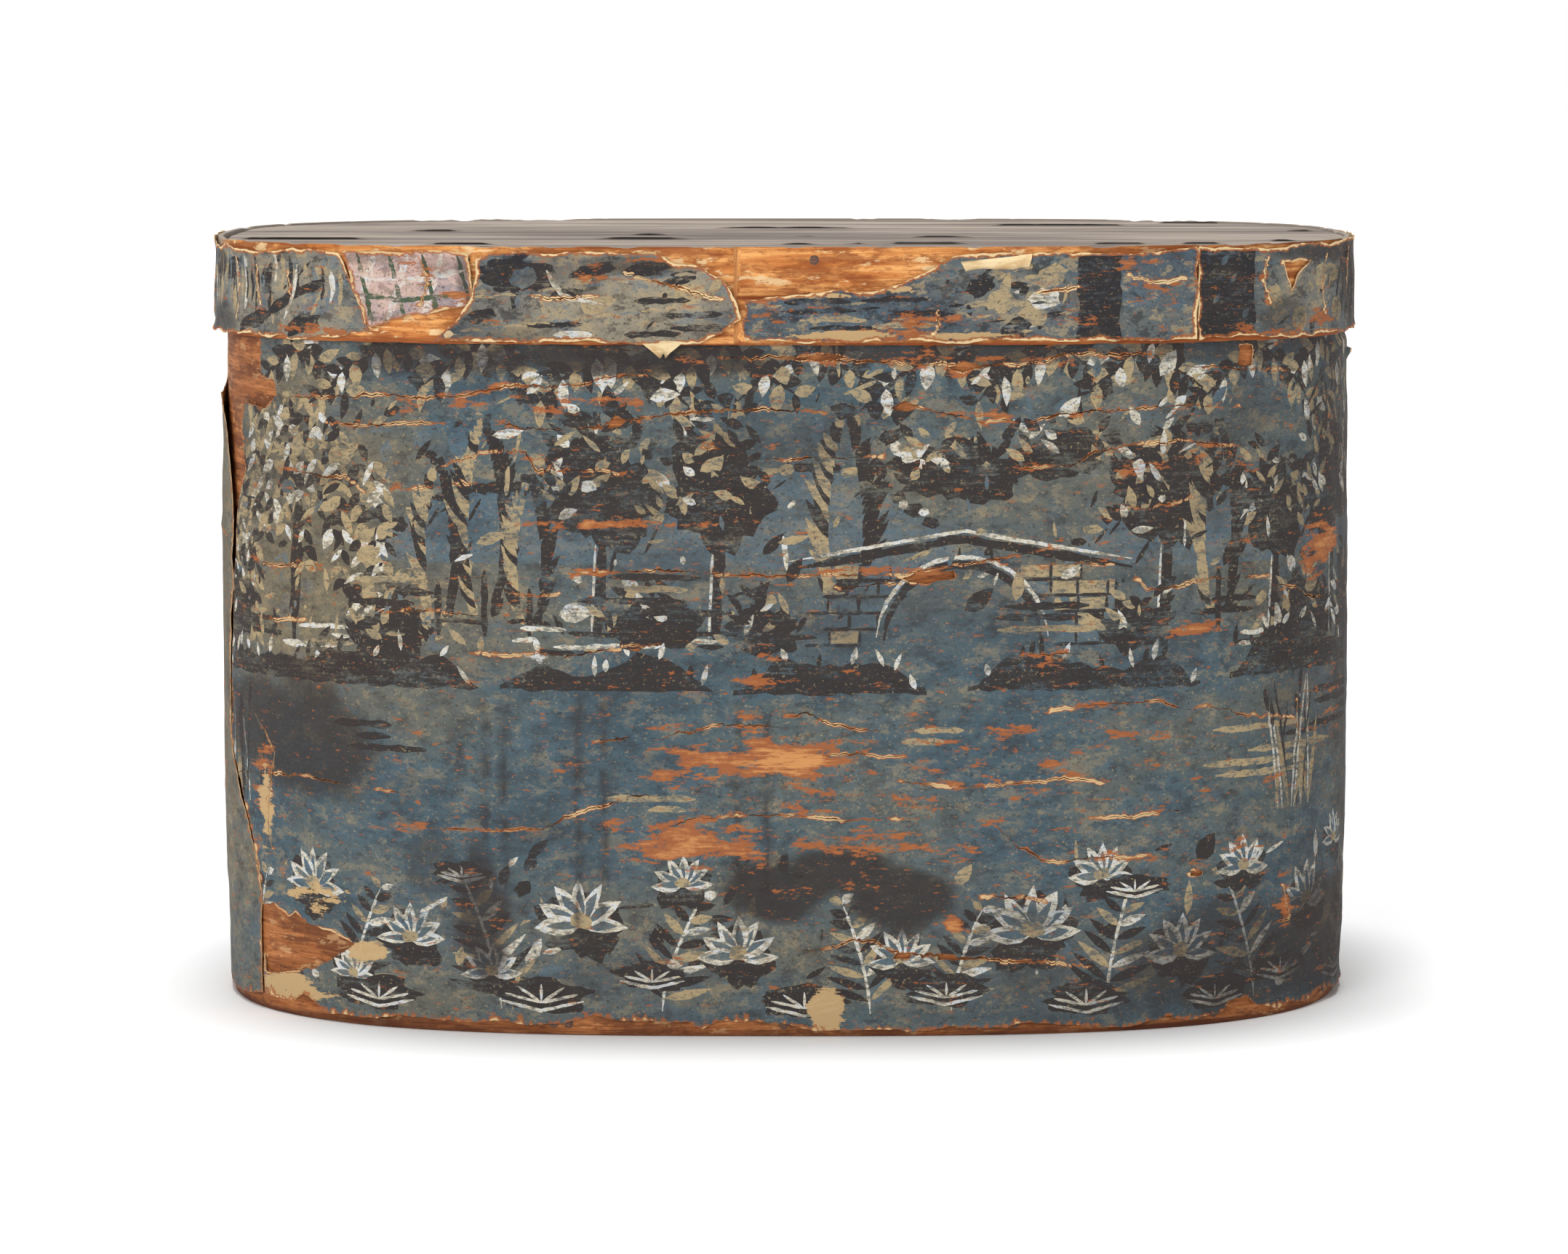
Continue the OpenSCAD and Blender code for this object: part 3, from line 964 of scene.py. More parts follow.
@dataclass
class NailSet:
    """Hand-made nails that stand where the CAD node has them, heads hammered a little out of round.

    Lengths are in millimetres. The face is the offset of the heads' tops from the bare side band.
    """

    name: str
    body: Body
    node: str
    face: float
    shank: float = 0.8
    head: float = 2.2
    head_thick: float = 0.9
    long: float = 18.0
    point: float = 3.0
    seed: int = 5
    sides: int = 24
    apart: float = 4.0

    def _places(self, plan: OvalPlan) -> list[Spot]:
        """Run and height of each nail of the CAD node.

        Args:
            plan: The plan that the nails stand round.

        Returns:
            The places.
        """
        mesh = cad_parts[self.node].data
        points = np.array([v.co for v in mesh.vertices]) / METRES
        edges = np.array([e.vertices[:] for e in mesh.edges])
        group = np.arange(len(points))
        before = None
        while before is None or (group != before).any():
            before = group.copy()
            low = np.minimum(group[edges[:, 0]], group[edges[:, 1]])
            np.minimum.at(group, edges[:, 0], low)
            np.minimum.at(group, edges[:, 1], low)
        spots: list[Spot] = []
        for number in np.unique(group):
            nail = points[group == number]
            middle = (nail.min(axis=0) + nail.max(axis=0)) / 2
            fill = np.hypot(nail[:, 0] / plan.half_width, nail[:, 1] / plan.half_depth)
            outer = nail[fill > fill.max() - 0.004].mean(axis=0)
            spot = (plan.run_of(outer[0], outer[1]), float(middle[2]))
            if all(math.dist(spot, other) > self.apart for other in spots):
                spots.append(spot)
        return spots

    def _section(self) -> list[Spot]:
        """Draws half of a nail's section.

        Returns:
            Radius and offset of each ring, from the head to the point.
        """
        back, end = self.face - self.head_thick, self.face - self.long
        head = ((0.25, 0.0), (0.6, 0.04), (0.85, 0.13), (1.0, 0.36), (0.98, 0.7), (0.9, self.head_thick))
        section = [(share * self.head, self.face - sink) for share, sink in head]
        section += [(self.shank, back - 0.05), (self.shank, end + self.point), (self.shank * 0.25, end)]
        return section

    def build(self, plan: OvalPlan, finish: Material) -> Piece:
        """Builds and dresses the nails.

        Args:
            plan: The plan that they stand round.
            finish: Their material.

        Returns:
            The new object.
        """
        rng = np.random.default_rng(self.seed)
        piece = PieceMesh(self.name)
        turn = np.linspace(0, 2 * math.pi, self.sides, endpoint=False)
        section = self._section()
        ends = np.array([self.face, self.face - self.long])
        for run, height in self._places(plan):
            bumps = 1 + 0.05 * rng.uniform(-1, 1) * np.sin(2 * turn + rng.uniform(0, 6))
            bumps = bumps + 0.03 * np.sin(5 * turn + rng.uniform(0, 6)) - 0.03
            spots, flat = [], []
            for radius, out in section:
                is_head = radius > self.shank
                dent = 0.05 * rng.uniform(-1, 0, self.sides) if is_head else 0 * turn
                reach = radius * (bumps if is_head else 1)
                across, up = run + reach * np.cos(turn), height + reach * np.sin(turn)
                spots.append(plan.place(across, up, out + dent))
                flat.append(np.stack([across, up, 0 * turn + out], axis=-1))
            first = piece.spots(np.concatenate(spots), np.concatenate(flat))
            middles = np.stack([np.full(2, run), np.full(2, height), ends], axis=-1)
            tips = piece.spots(plan.place(run, height, ends + (0.02, 0.0)), middles)
            self._cover(piece, first, tips, len(section))
        return piece.build(self.body, "nail_iron", [finish], (self.node,), sharp=50)

    def _cover(self, piece: PieceMesh, first: int, tips: int, rings: int) -> None:
        """Lays faces over one nail's rings, and closes its head and its point.

        Args:
            piece: The mesh that takes the faces.
            first: Number of the first ring's first point.
            tips: Number of the head's middle. The point's middle follows it.
            rings: Number of rings.
        """
        number = first + np.arange(rings * self.sides).reshape(rings, self.sides)
        ahead = np.roll(number, -1, axis=1)
        quads = np.stack([number[1:], ahead[1:], ahead[:-1], number[:-1]], axis=-1).reshape(-1, 4)
        cells = baked_cells(self.sides, rings)[:, :0:-1].swapaxes(0, 1) * (1, 0.5)
        piece.faces(quads, cells.reshape(-1, 4, 2))
        turn = np.linspace(0, 2 * math.pi, self.sides + 1)
        disc = 0.75 + 0.2 * np.stack([np.cos(turn), np.sin(turn)], axis=-1)
        fan = np.stack([np.full((self.sides, 2), 0.75), disc[:-1], disc[1:]], axis=1)
        piece.faces(np.stack([np.full(self.sides, tips), number[0], ahead[0]], axis=-1), fan)
        piece.faces(np.stack([np.full(self.sides, tips + 1), ahead[-1], number[-1]], axis=-1), fan * 0.2)


# Stage


@dataclass(frozen=True)
class Studio:
    """Camera, soft light and a plain white floor. Places are in metres and angles in degrees."""

    camera_place: Tone = (0.0, -2.2851, 0.3878)
    camera_dip: float = 6.0853
    lens: float = 124.614
    film: float = 36.0
    sky: float = 0.34
    front_sun: float = 1.28
    front_soft: float = 30.0
    front_from: Tone = (-0.42, -0.85, 0.34)
    top_sun: float = 2.3
    top_soft: float = 18.0
    top_from: Tone = (-0.02, 0.08, 1.0)
    white: Tone = (255, 255, 255)
    floor_tone: Tone = (252, 252, 252)
    floor_reach: float = 30.0

    def build(self) -> None:
        """Builds the stage and sets the camera."""
        scene = bpy.context.scene
        scene.view_settings.view_transform = "Standard"
        data = bpy.data.cameras.new("photo_camera")
        data.lens = self.lens
        data.sensor_width = self.film
        data.sensor_fit = "HORIZONTAL"
        camera = bpy.data.objects.new("photo_camera", data)
        camera.location = self.camera_place
        camera.rotation_euler = (math.radians(90 - self.camera_dip), 0.0, 0.0)
        scene.collection.objects.link(camera)
        scene.camera = camera
        self._sky(scene)
        self._sun(scene, "front_light", self.front_sun, self.front_soft, self.front_from)
        self._sun(scene, "top_light", self.top_sun, self.top_soft, self.top_from)
        self._floor(scene)

    def _sun(self, scene: bpy.types.Scene, name: str, power: float, soft: float, comes_from: Tone) -> None:
        """A large soft light from one direction.

        Args:
            scene: The scene that it is linked to.
            name: Its name.
            power: Its strength.
            soft: The angle that it fills.
            comes_from: The direction that it comes from.
        """
        light = bpy.data.lights.new(name, "SUN")
        light.energy = power
        light.angle = math.radians(soft)
        made = bpy.data.objects.new(name, light)
        made.rotation_euler = Vector(comes_from).to_track_quat("Z", "Y").to_euler()
        scene.collection.objects.link(made)

    def _sky(self, scene: bpy.types.Scene) -> None:
        """Even light from all round, white where it is seen directly or in a reflection.

        Args:
            scene: The scene that it lights.
        """
        scene.world = bpy.data.worlds.new("studio_sky")
        g = Graph(scene.world)
        kinds = ("Camera", "Glossy", "Transmission")
        camera, glossy, through = (g.node("ShaderNodeLightPath", output=f"Is {kind} Ray") for kind in kinds)
        looks = [{"Color": self.white, "Strength": power} for power in (self.sky, 1.0)]
        soft, plain = (g.node("ShaderNodeBackground", inputs=look) for look in looks)
        seen = camera.most(glossy).most(through)
        mixed = g.node("ShaderNodeMixShader", inputs={0: seen, 1: soft, 2: plain})
        g.node("ShaderNodeOutputWorld", inputs={0: mixed})

    def _floor(self, scene: bpy.types.Scene) -> None:
        """A wide pale floor that keeps the shadow under the box.

        Args:
            scene: The scene that it is linked to.
        """
        g = Graph(bpy.data.materials.new("studio_floor"))
        look = {"Base Color": self.floor_tone, "Roughness": 0.9, "Specular IOR Level": 0.0}
        shader = g.node("ShaderNodeBsdfPrincipled", inputs=look)
        g.node("ShaderNodeOutputMaterial", inputs={0: shader})
        corners = ((-1, -1), (1, -1), (1, 1), (-1, 1))
        mesh = bpy.data.meshes.new("studio_floor")
        spots = [(x * self.floor_reach, y * self.floor_reach, 0.0) for x, y in corners]
        mesh.from_pydata(spots, [], [(0, 1, 2, 3)])
        mesh.materials.append(g.owner)
        floor = bpy.data.objects.new("studio_floor", mesh)
        scene.collection.objects.link(floor)


# Printed paper


class Ink(Enum):
    """Inks of the printed papers, named as the surface values that hold them."""

    DARK = "dark_ink"
    TAN = "tan_ink"
    PALE = "pale_ink"
    BLUE = "blue_ink"


DARK, TAN, PALE, BLUE = Ink
Inks = tuple[Ink, ...]


@dataclass(frozen=True)
class PaperFinish(Finish):
    """Matt distemper print on rag paper: inks, grime, stains with painted shade among them, drips, scuffs and
    torn edges.
    """

    ground: Tone = (72, 95, 107)
    damp: Tone = (90, 99, 98)
    aged: Tone = (118, 109, 90)
    dark: Tone = (50, 44, 43)
    tan: Tone = (184, 162, 122)
    pale: Tone = (228, 218, 196)
    blue: Tone = (90, 114, 130)
    chalk: Tone = (216, 220, 222)
    grime: Tone = (58, 54, 52)
    stain: Tone = (54, 49, 48)
    scuff: Tone = (164, 96, 54)
    rubbed: Tone = (212, 150, 92)
    core: Tone = (196, 164, 118)
    fringe: Tone = (218, 186, 138)
    fleck_share: float = 0.16
    patch_share: float = 0.3

    def material(self) -> Material:
        """Builds the material.

        Returns:
            The new material.
        """
        g = self._graph()
        cloud = g.noise((70.0, 38.0), 5.0, 0.62)
        mottle = g.noise((8.0, 5.0), 5.0, 0.66, shift=0.2)
        grit = g.noise((2.4, 1.5), 4.0, 0.68, shift=0.5)
        fine = g.noise((0.9, 0.7), 3.0, 0.62, shift=0.8)
        streak = g.noise((16.0, 1.1), 5.0, 0.66, shift=1.1)
        colour = g.blend((cloud * 0.7 + mottle * 0.3).ramp(0.42, 0.58) * 0.85, self.ground, self.damp)
        colour = g.blend((g.value("aged") * 0.9 + cloud.ramp(0.52, 0.7) * 0.22).held(), colour, self.aged)
        colour = g.blend(mottle.ramp(0.5, 0.34) * 0.5, colour, self.grime)
        colour = g.blend(mottle.ramp(0.55, 0.72) * 0.22, colour, self.tan)
        dabbed = g.noise((11.0, 7.0), 7.0, 0.72, shift=4.1)
        other = g.noise((15.0, 8.0), 7.0, 0.72, shift=5.3)
        colour = g.blend(other.ramp(0.55, 0.59) * self.patch_share * 0.75, colour, self.blue)
        colour = g.blend(dabbed.ramp(0.55, 0.59) * self.patch_share * 0.75, colour, self.tan)
        colour = g.blend(dabbed.ramp(0.45, 0.41) * self.patch_share * 0.9, colour, self.dark)
        colour = self._printed(g, colour, grit, streak)
        speck = g.noise((1.5, 1.3), 2.0, 0.5, shift=6.2)
        colour = g.blend(speck.ramp(0.63, 0.69) * 0.62, colour, self.grime)
        colour = g.blend(speck.ramp(0.35, 0.29) * 0.4, colour, self.tan)
        colour = g.blend(cloud.ramp(0.5, 0.32) * 0.42, colour, self.grime)
        # Stains here also carry painted shade: under the lid's rim and at the front sheet's right end.
        stain_and_shade_share = g.value("stain") * 1.3 + (cloud * 0.6 + mottle * 0.5 + grit * 0.3) * 1.2 - 1.1
        colour = g.blend(stain_and_shade_share.ramp(0.05, 0.98) * 0.9, colour, self.stain)
        colour = g.blend((g.value("drip") * (0.45 + mottle * 0.6)).held(), colour, self.stain)
        colour = g.blend(fine.ramp(0.55, 0.7) * 0.45, colour, self.grime)
        colour = g.blend((fine * 0.6 + streak * 0.4).ramp(0.58, 0.68) * 0.34, colour, self.tan)
        colour = self._worn(g, colour, grit, fine, streak)
        height = grit * 0.35 + fine * 0.2 + mottle * 0.45 + g.value(DARK.value) * 0.15
        return g.surface(colour, 0.92 - mottle * 0.18, height, 0.4)

    def _printed(self, g: Graph, colour: Value, grit: Value, streak: Value) -> Value:
        """Lays the inks that are left over the ground.

        Args:
            g: The finish's graph.
            colour: Colour of the ground.
            grit: Fine noise.
            streak: Noise in level streaks.

        Returns:
            The colour with its print.
        """
        rub = g.noise((20.0, 10.0), 6.0, 0.7, shift=1.7)
        gone = (rub * 0.55 + grit * 0.35 + streak * 0.3).ramp(0.6, 0.72)
        kept = 1.0 - gone * 0.85
        dry = g.noise((7.0, 2.6), 6.0, 0.74, shift=2.6)
        thin = 1.0 - (dry * 0.7 + grit * 0.3).ramp(0.47, 0.6) * 0.8
        colour = g.blend(g.value(BLUE.value) * kept * thin * 0.5, colour, self.blue)
        colour = g.blend(g.value(TAN.value) * kept * thin * 0.85, colour, self.tan)
        chalk = g.blend(dry.ramp(0.5, 0.42), self.pale, self.chalk)
        colour = g.blend(g.value(PALE.value) * kept * thin * 0.92, colour, chalk)
        return g.blend(g.value(DARK.value) * kept * 0.94, colour, self.dark)

    def _worn(self, g: Graph, colour: Value, grit: Value, fine: Value, streak: Value) -> Value:
        """Lays scuffs, bared core and torn edges over the print.

        Args:
            g: The finish's graph.
            colour: Colour of the printed sheet.
            grit: Fine noise.
            fine: The finest noise.
            streak: Noise in level streaks.

        Returns:
            The colour with its wear.
        """
        rough = grit * 0.55 + streak * 0.45
        tear = g.noise((20.0, 5.5), 8.0, 0.72, shift=3.3)
        worn = tear * 0.8 + grit * 0.2 + g.value("scuff").most(self.fleck_share) * 0.3
        colour = g.blend(worn.ramp(0.66, 0.695) * 0.92, colour, self.scuff)
        colour = g.blend((worn * 0.8 + streak * 0.3).ramp(0.72, 0.84) * 0.7, colour, self.rubbed)
        fleck = g.noise((6.0, 1.7), 6.0, 0.72, shift=7.4) + tear * 0.35
        colour = g.blend(fleck.ramp(0.795, 0.825) * 0.85, colour, self.scuff)
        pale = tear * 0.5 + streak * 0.5 + g.value("rubbed") * 0.3
        colour = g.blend(pale.ramp(0.68, 0.78) * 0.85, colour, self.rubbed)
        bared = tear * 1.1 + rough * 0.6 + g.value("bared") * 0.55
        colour = g.blend(bared.ramp(1.14, 1.2) * 0.95, colour, self.core)
        edge = g.value("fringe") * 0.9 + rough * 0.8 - 0.4
        colour = g.blend(edge.ramp(0.26, 0.4) * 0.9, colour, self.scuff)
        colour = g.blend(edge.ramp(0.44, 0.56) * 0.95, colour, self.fringe)
        return g.blend(fine.ramp(0.6, 0.72) * 0.2, colour, self.grime)


@dataclass(frozen=True)
class Mark:
    """One inked shape: a closed line in run and height, in millimetres."""

    ink: Ink
    line: Array


@dataclass
class RiverPrint:
    """A plain block-printed riverside pattern, drawn as closed inked shapes in millimetres."""

    seed: int
    marks: list[Mark] = field(default_factory=list)

    def __post_init__(self) -> None:
        """Starts the print's own random numbers."""
        self.rng = np.random.default_rng(self.seed)

    def _around(self, middle: float, spread: float) -> float:
        """A number within a spread of a middle one."""
        return float(self.rng.uniform(middle - spread, middle + spread))

    def _any(self, inks: Inks) -> Ink:
        """One of some inks."""
        return inks[int(self.rng.integers(0, len(inks)))]

    def _shape(self, ink: Ink, place: Spot, along: Array, across: Array, turn: float) -> None:
        """Adds a shape that is turned about a place.

        Args:
            ink: Its ink.
            place: Run and height of that place.
            along: Places of its line along its own axis.
            across: Places of its line across that axis.
            turn: Turn of the axis, in radians.
        """
        c, s = math.cos(turn), math.sin(turn)
        line = [place[0] + along * c - across * s, place[1] + along * s + across * c]
        self.marks.append(Mark(ink, np.stack(line, axis=-1)))

    def dab(self, ink: Ink, run: float, height: float, wide: float, tall: float, lean: float = 0.0) -> None:
        """An uneven spot of ink.

        Args:
            ink: Its ink.
            run: Run of its middle.
            height: Height of its middle.
            wide: Half its width.
            tall: Half its height.
            lean: Its turn, in radians.
        """
        sides = int(np.clip((wide + tall) * 1.6, 7, 44))
        turn = np.linspace(0, 2 * math.pi, sides, endpoint=False)
        reach = 1 + 0.12 * self.rng.uniform(-1, 1, sides)
        for waves in (2, 3, 5):
            reach += 0.11 * math.sin(waves) * np.sin(waves * turn + self.rng.uniform(0, 6))
        self._shape(ink, (run, height), wide * reach * np.cos(turn), tall * reach * np.sin(turn), lean)

    def leaf(self, ink: Ink, run: float, height: float, heading: float, long: float, wide: float) -> None:
        """A pointed leaf.

        Args:
            ink: Its ink.
            run: Run of its foot.
            height: Height of its foot.
            heading: The way it grows, in radians.
            long: Its length.
            wide: Half its width.
        """
        along = np.array([0, 0.22, 0.5, 0.8, 1.0, 0.78, 0.48, 0.2]) * long
        across = np.array([0, 0.8, 1.0, 0.55, 0, -0.6, -1.0, -0.75]) * wide * self._around(1, 0.2)
        bend = 0.25 * wide * np.sin(along / long * math.pi) * self._around(0, 1)
        self._shape(ink, (run, height), along, across + bend, heading)

    def stroke(self, ink: Ink, line: list[Spot], width: float, rough: float = 0.25) -> None:
        """A brushed line, thinner at its ends.

        Args:
            ink: Its ink.
            line: Runs and heights of its points.
            width: Its width.
            rough: How uneven its sides are.
        """
        middle = spaced(np.array(line, float), max(1.6, width), False)
        side = leftward(middle)
        count = len(middle)
        share = np.linspace(0, 1, count)
        half = 0.5 * width * np.clip(np.minimum(share, 1 - share) * 8, 0.3, 1)
        first = half * (1 + rough * self.rng.uniform(-1, 1, count))
        second = half * (1 + rough * self.rng.uniform(-1, 1, count))
        outline = np.concatenate([middle + side * first[:, None], (middle - side * second[:, None])[::-1]])
        self.marks.append(Mark(ink, outline[::-1]))

    def arc(self, ink: Ink, run: float, height: float, radius: float, ends: Spot, width: float) -> None:
        """A brushed part of a circle between two angles in degrees."""
        turn = np.radians(np.linspace(*ends, 14))
        self.stroke(ink, [(run + radius * math.cos(t), height + radius * math.sin(t)) for t in turn], width)

    def bough(self, run: float, height: float, long: float, side: float) -> None:
        """A hanging branch with leaves on both sides.

        Args:
            run: Run of its start.
            height: Height of its start.
            long: Its length.
            side: 1 where it hangs to the right, -1 to the left.
        """
        inks = (TAN, DARK, DARK, TAN, DARK, PALE)
        shares = np.linspace(0, 1, 9)
        fall = [height - 0.55 * long * share**1.6 + self._around(0, 1) for share in shares]
        spots = [(run + side * long * share, level) for share, level in zip(shares, fall)]
        self.stroke(DARK, spots, 2.2)
        for number, (x, y) in enumerate(spots[1:]):
            for turn in (-1, 1):
                ink = inks[(number * 2 + (turn > 0)) % len(inks)]
                heading = math.atan2(-0.8, side) + turn * self._around(0.9, 0.25)
                self.leaf(ink, x, y, heading, self._around(10, 2.5), self._around(2.4, 0.5))

    def willow(self, run: float, height: float, wide: float, tall: float) -> None:
        """A willow: a trunk and long hanging strands of leaves.

        Args:
            run: Run of its foot.
            height: Height of its foot.
            wide: Its width.
            tall: Its height.
        """
        self.stroke(DARK, [(run, height), (run + 3, height + tall * 0.5), (run - 1, height + tall)], 6.0)
        for share in np.linspace(-1, 1, int(wide / 6)):
            x = run + share * wide / 2 + self._around(0, 2)
            top = height + tall * (1 - 0.35 * share**2) + self._around(0, 3)
            low = top - tall * self._around(0.66, 0.24)
            y = top
            while y > low:
                for turn in (-1, 1):
                    heading = -math.pi / 2 + turn * self._around(0.75, 0.35)
                    ink = self._any((TAN, TAN, DARK, PALE, DARK))
                    spread = x + 3 * share * (top - y) / tall
                    self.leaf(ink, spread, y, heading, self._around(9, 2.5), self._around(1.9, 0.6))
                y -= self._around(6.4, 1.8)

    def scatter(
        self, left: float, right: float, low: float, high: float, count: int, long: float, inks: Inks
    ) -> None:
        """Loose brush marks over an area.

        Args:
            left: Run of its left edge.
            right: Run of its right edge.
            low: Height of its foot.
            high: Height of its head.
            count: Number of marks.
            long: Usual length of a mark.
            inks: Their inks.
        """
        for _ in range(count):
            x, y = self.rng.uniform(left, right), self.rng.uniform(low, high)
            ink = self._any(inks)
            reach, heading = long * self._around(0.8, 0.5), self._around(0.9, 0.9)
            kind = self.rng.random()
            if kind < 0.45:
                self.leaf(ink, x, y, heading, reach, reach * self._around(0.2, 0.08))
            elif kind < 0.75:
                end = (x + reach * math.cos(heading), y + reach * math.sin(heading))
                self.stroke(ink, [(x, y), end], self._around(1.5, 0.5), 0.4)
            else:
                wide, tall = reach * self._around(0.26, 0.1), reach * self._around(0.17, 0.06)
                self.dab(ink, x, y, wide, tall, heading)

    def panel(self, ink: Ink, left: float, right: float, low: float, high: float) -> None:
        """An upright block of ink with uneven sides.

        Args:
            ink: Its ink.
            left: Run of its left side.
            right: Run of its right side.
            low: Height of its foot.
            high: Height of its head.
        """
        level = np.linspace(low, high, max(int((high - low) / 1.3), 4))
        uneven = Ripple(self.seed + int(abs(left)), 6.0, 6.0, 3)
        first = np.stack([left + 1.6 * uneven.at(level, 0 * level), level], axis=-1)
        second = np.stack([right + 1.6 * uneven.at(level, 0 * level + 50), level], axis=-1)
        self.marks.append(Mark(ink, np.concatenate([second, first[::-1]])))

    def poplar(self, run: float, height: float, tall: float) -> None:
        """A narrow upright tree of stacked leaves.

        Args:
            run: Run of its foot.
            height: Height of its foot.
            tall: Its height.
        """
        self.stroke(DARK, [(run, height), (run, height + tall * 0.3)], 2.6)
        for share in np.linspace(0.12, 1, int(tall / 3.4)):
            half = tall * 0.13 * math.sin(math.pi * min(share * 1.05, 1)) + 1.2
            for turn in (-1, 1):
                ink = DARK if turn > 0 or self.rng.random() < 0.35 else TAN
                heading = math.pi / 2 - turn * self._around(0.5, 0.2)
                x, y = run + turn * half * 0.5, height + tall * share - 3
                self.leaf(ink, x, y, heading, half * 1.2 + 2.5, 1.8)

    def shrub(self, run: float, height: float, wide: float, tall: float, light: float = 0.35) -> None:
        """A rounded bush of dabs, lighter on its left.

        Args:
            run: Run of its foot.
            height: Height of its foot.
            wide: Its width.
            tall: Its height.
            light: Share of light leaves.
        """
        self.dab(DARK, run, height + tall * 0.35, wide * 0.46, tall * 0.4)
        for _ in range(int(wide * tall / 34)):
            turn, reach = self._around(math.pi / 2, 1.9), math.sqrt(self.rng.random())
            x = run + wide * 0.5 * reach * math.cos(turn)
            y = height + tall * (0.3 + 0.7 * reach * math.sin(turn))
            share = self.rng.random() + 0.25 * math.cos(turn)
            ink = PALE if share < light * 0.16 else TAN if share < light else DARK
            heading = self._around(2.3, 0.5) if self.rng.random() < 0.7 else self._around(0.8, 0.4)
            self.leaf(ink, x, max(y, height), heading, self._around(8, 2.5), self._around(1.7, 0.5))

    def hill(self, left: float, right: float, height: float, rise: float) -> None:
        """A far hill as a pale mass, with small trees along its ridge.

        Args:
            left: Run of its left end.
            right: Run of its right end.
            height: Height of its foot.
            rise: How far it rises.
        """
        share = np.linspace(0, 1, 22)
        run = left + share * (right - left)
        wobble = Ripple(self.seed + int(abs(left)), 22, 22, 3).at(run, 0 * share)
        ridge = height + rise * np.sin(math.pi * share) ** 0.8 + 3 * wobble
        low = np.stack([run, np.full(len(run), height - 5)], axis=-1)
        self.marks.append(Mark(BLUE, np.concatenate([low, np.stack([run, ridge], axis=-1)[::-1]])))
        for x, y in zip(run[1:-1], ridge[1:-1]):
            ink = TAN if self.rng.random() < 0.3 else DARK
            self.dab(ink, x, y, self._around(3.4, 1.2), self._around(2.2, 0.8))
            if self.rng.random() < 0.5:
                self.stroke(DARK, [(x, y - 4), (x - 5, y - 5 - self._around(6, 4))], 1.3)

    def tree(self, run: float, height: float, wide: float, tall: float, light: float = 0.4) -> None:
        """A round-headed tree with a forked trunk.

        Args:
            run: Run of its foot.
            height: Height of its foot.
            wide: Its width.
            tall: Its height.
            light: Share of light leaves.
        """
        fork = height + tall * 0.42
        self.stroke(DARK, [(run - 1, height), (run + 1, fork)], 4.2)
        self.stroke(DARK, [(run, fork - 3), (run - wide * 0.2, fork + tall * 0.2)], 2.2)
        self.stroke(DARK, [(run, fork - 6), (run + wide * 0.2, fork + tall * 0.18)], 2.2)
        self.stroke(PALE, [(run - 3.4, height + 2), (run - 1.8, fork - 2)], 1.1)
        self.shrub(run, fork, wide, tall * 0.58, light)

    def meadow(self, left: float, right: float, height: float, count: int) -> None:
        """Level strokes and tufts on a far bank.

        Args:
            left: Run of its left end.
            right: Run of its right end.
            height: Its height.
            count: Number of strokes and tufts.
        """
        for _ in range(count):
            x, y = self._around((left + right) / 2, (right - left) / 2), height + self._around(0, 7)
            ink = self._any((PALE, TAN, DARK))
            half = self._around(9, 6)
            if self.rng.random() < 0.6:
                bend, end = self._around(0, 1.2), self._around(0, 1)
                self.stroke(ink, [(x - half, y), (x, y + bend), (x + half, y + end)], 1.9)
            else:
                self.leaf(ink, x, y, math.pi / 2 + self._around(0, 0.9), self._around(8, 3), 1.4)

    def bridge(self, left: float, right: float, height: float, rise: float) -> None:
        """A stone bridge of one arch in running courses.

        Args:
            left: Run of its left end.
            right: Run of its right end.
            height: Height of its foot.
            rise: How far the middle of its deck rises.
        """
        middle, half = (left + right) / 2, (right - left) / 2
        radius, course, slope = half * 0.5, 6.4, 0.16
        level, row = height, 0
        while level < height + rise:
            x = left - (row % 2) * 5.5
            while x < right:
                stop = min(x + self._around(11, 1.6), right)
                away = (x + stop) / 2 - middle
                deck = height + rise - slope * abs(away)
                clear = math.hypot(away, level + course / 2 - height) > radius + 4
                if clear and level + course < deck and x >= left:
                    self._stone(x, stop, level, course)
                x = stop
            level += course
            row += 1
        self.arc(DARK, middle, height, radius, (178, 2), 3.0)
        self.arc(PALE, middle, height, radius + 3.0, (176, 4), 1.6)
        foot = height + rise - slope * half - 1
        deck = [(left - 6, foot), (middle, height + rise + 1), (right + 6, foot)]
        self.stroke(DARK, deck, 3.4)
        self.stroke(PALE, [(x, y + 3.2) for x, y in deck], 1.5)

    def _stone(self, left: float, right: float, level: float, course: float) -> None:
        """One stone of a wall, with its joints.

        Args:
            left: Run of its left end.
            right: Run of its right end.
            level: Height of its foot.
            course: Height of its course.
        """
        ink = TAN if self.rng.random() < 0.35 else BLUE
        side, top = right - 1.5, level + course - 1.6
        stone = np.array([(left, level), (side, level), (side, top), (left, top)])
        self.marks.append(Mark(ink, stone + self.rng.uniform(-0.4, 0.4, (4, 2))))
        self.stroke(DARK, [(left, level - 0.8), (right, level - 0.8)], 1.3)
        self.stroke(DARK, [(right - 0.7, level - 0.8), (right - 0.7, level + course - 0.8)], 1.2)

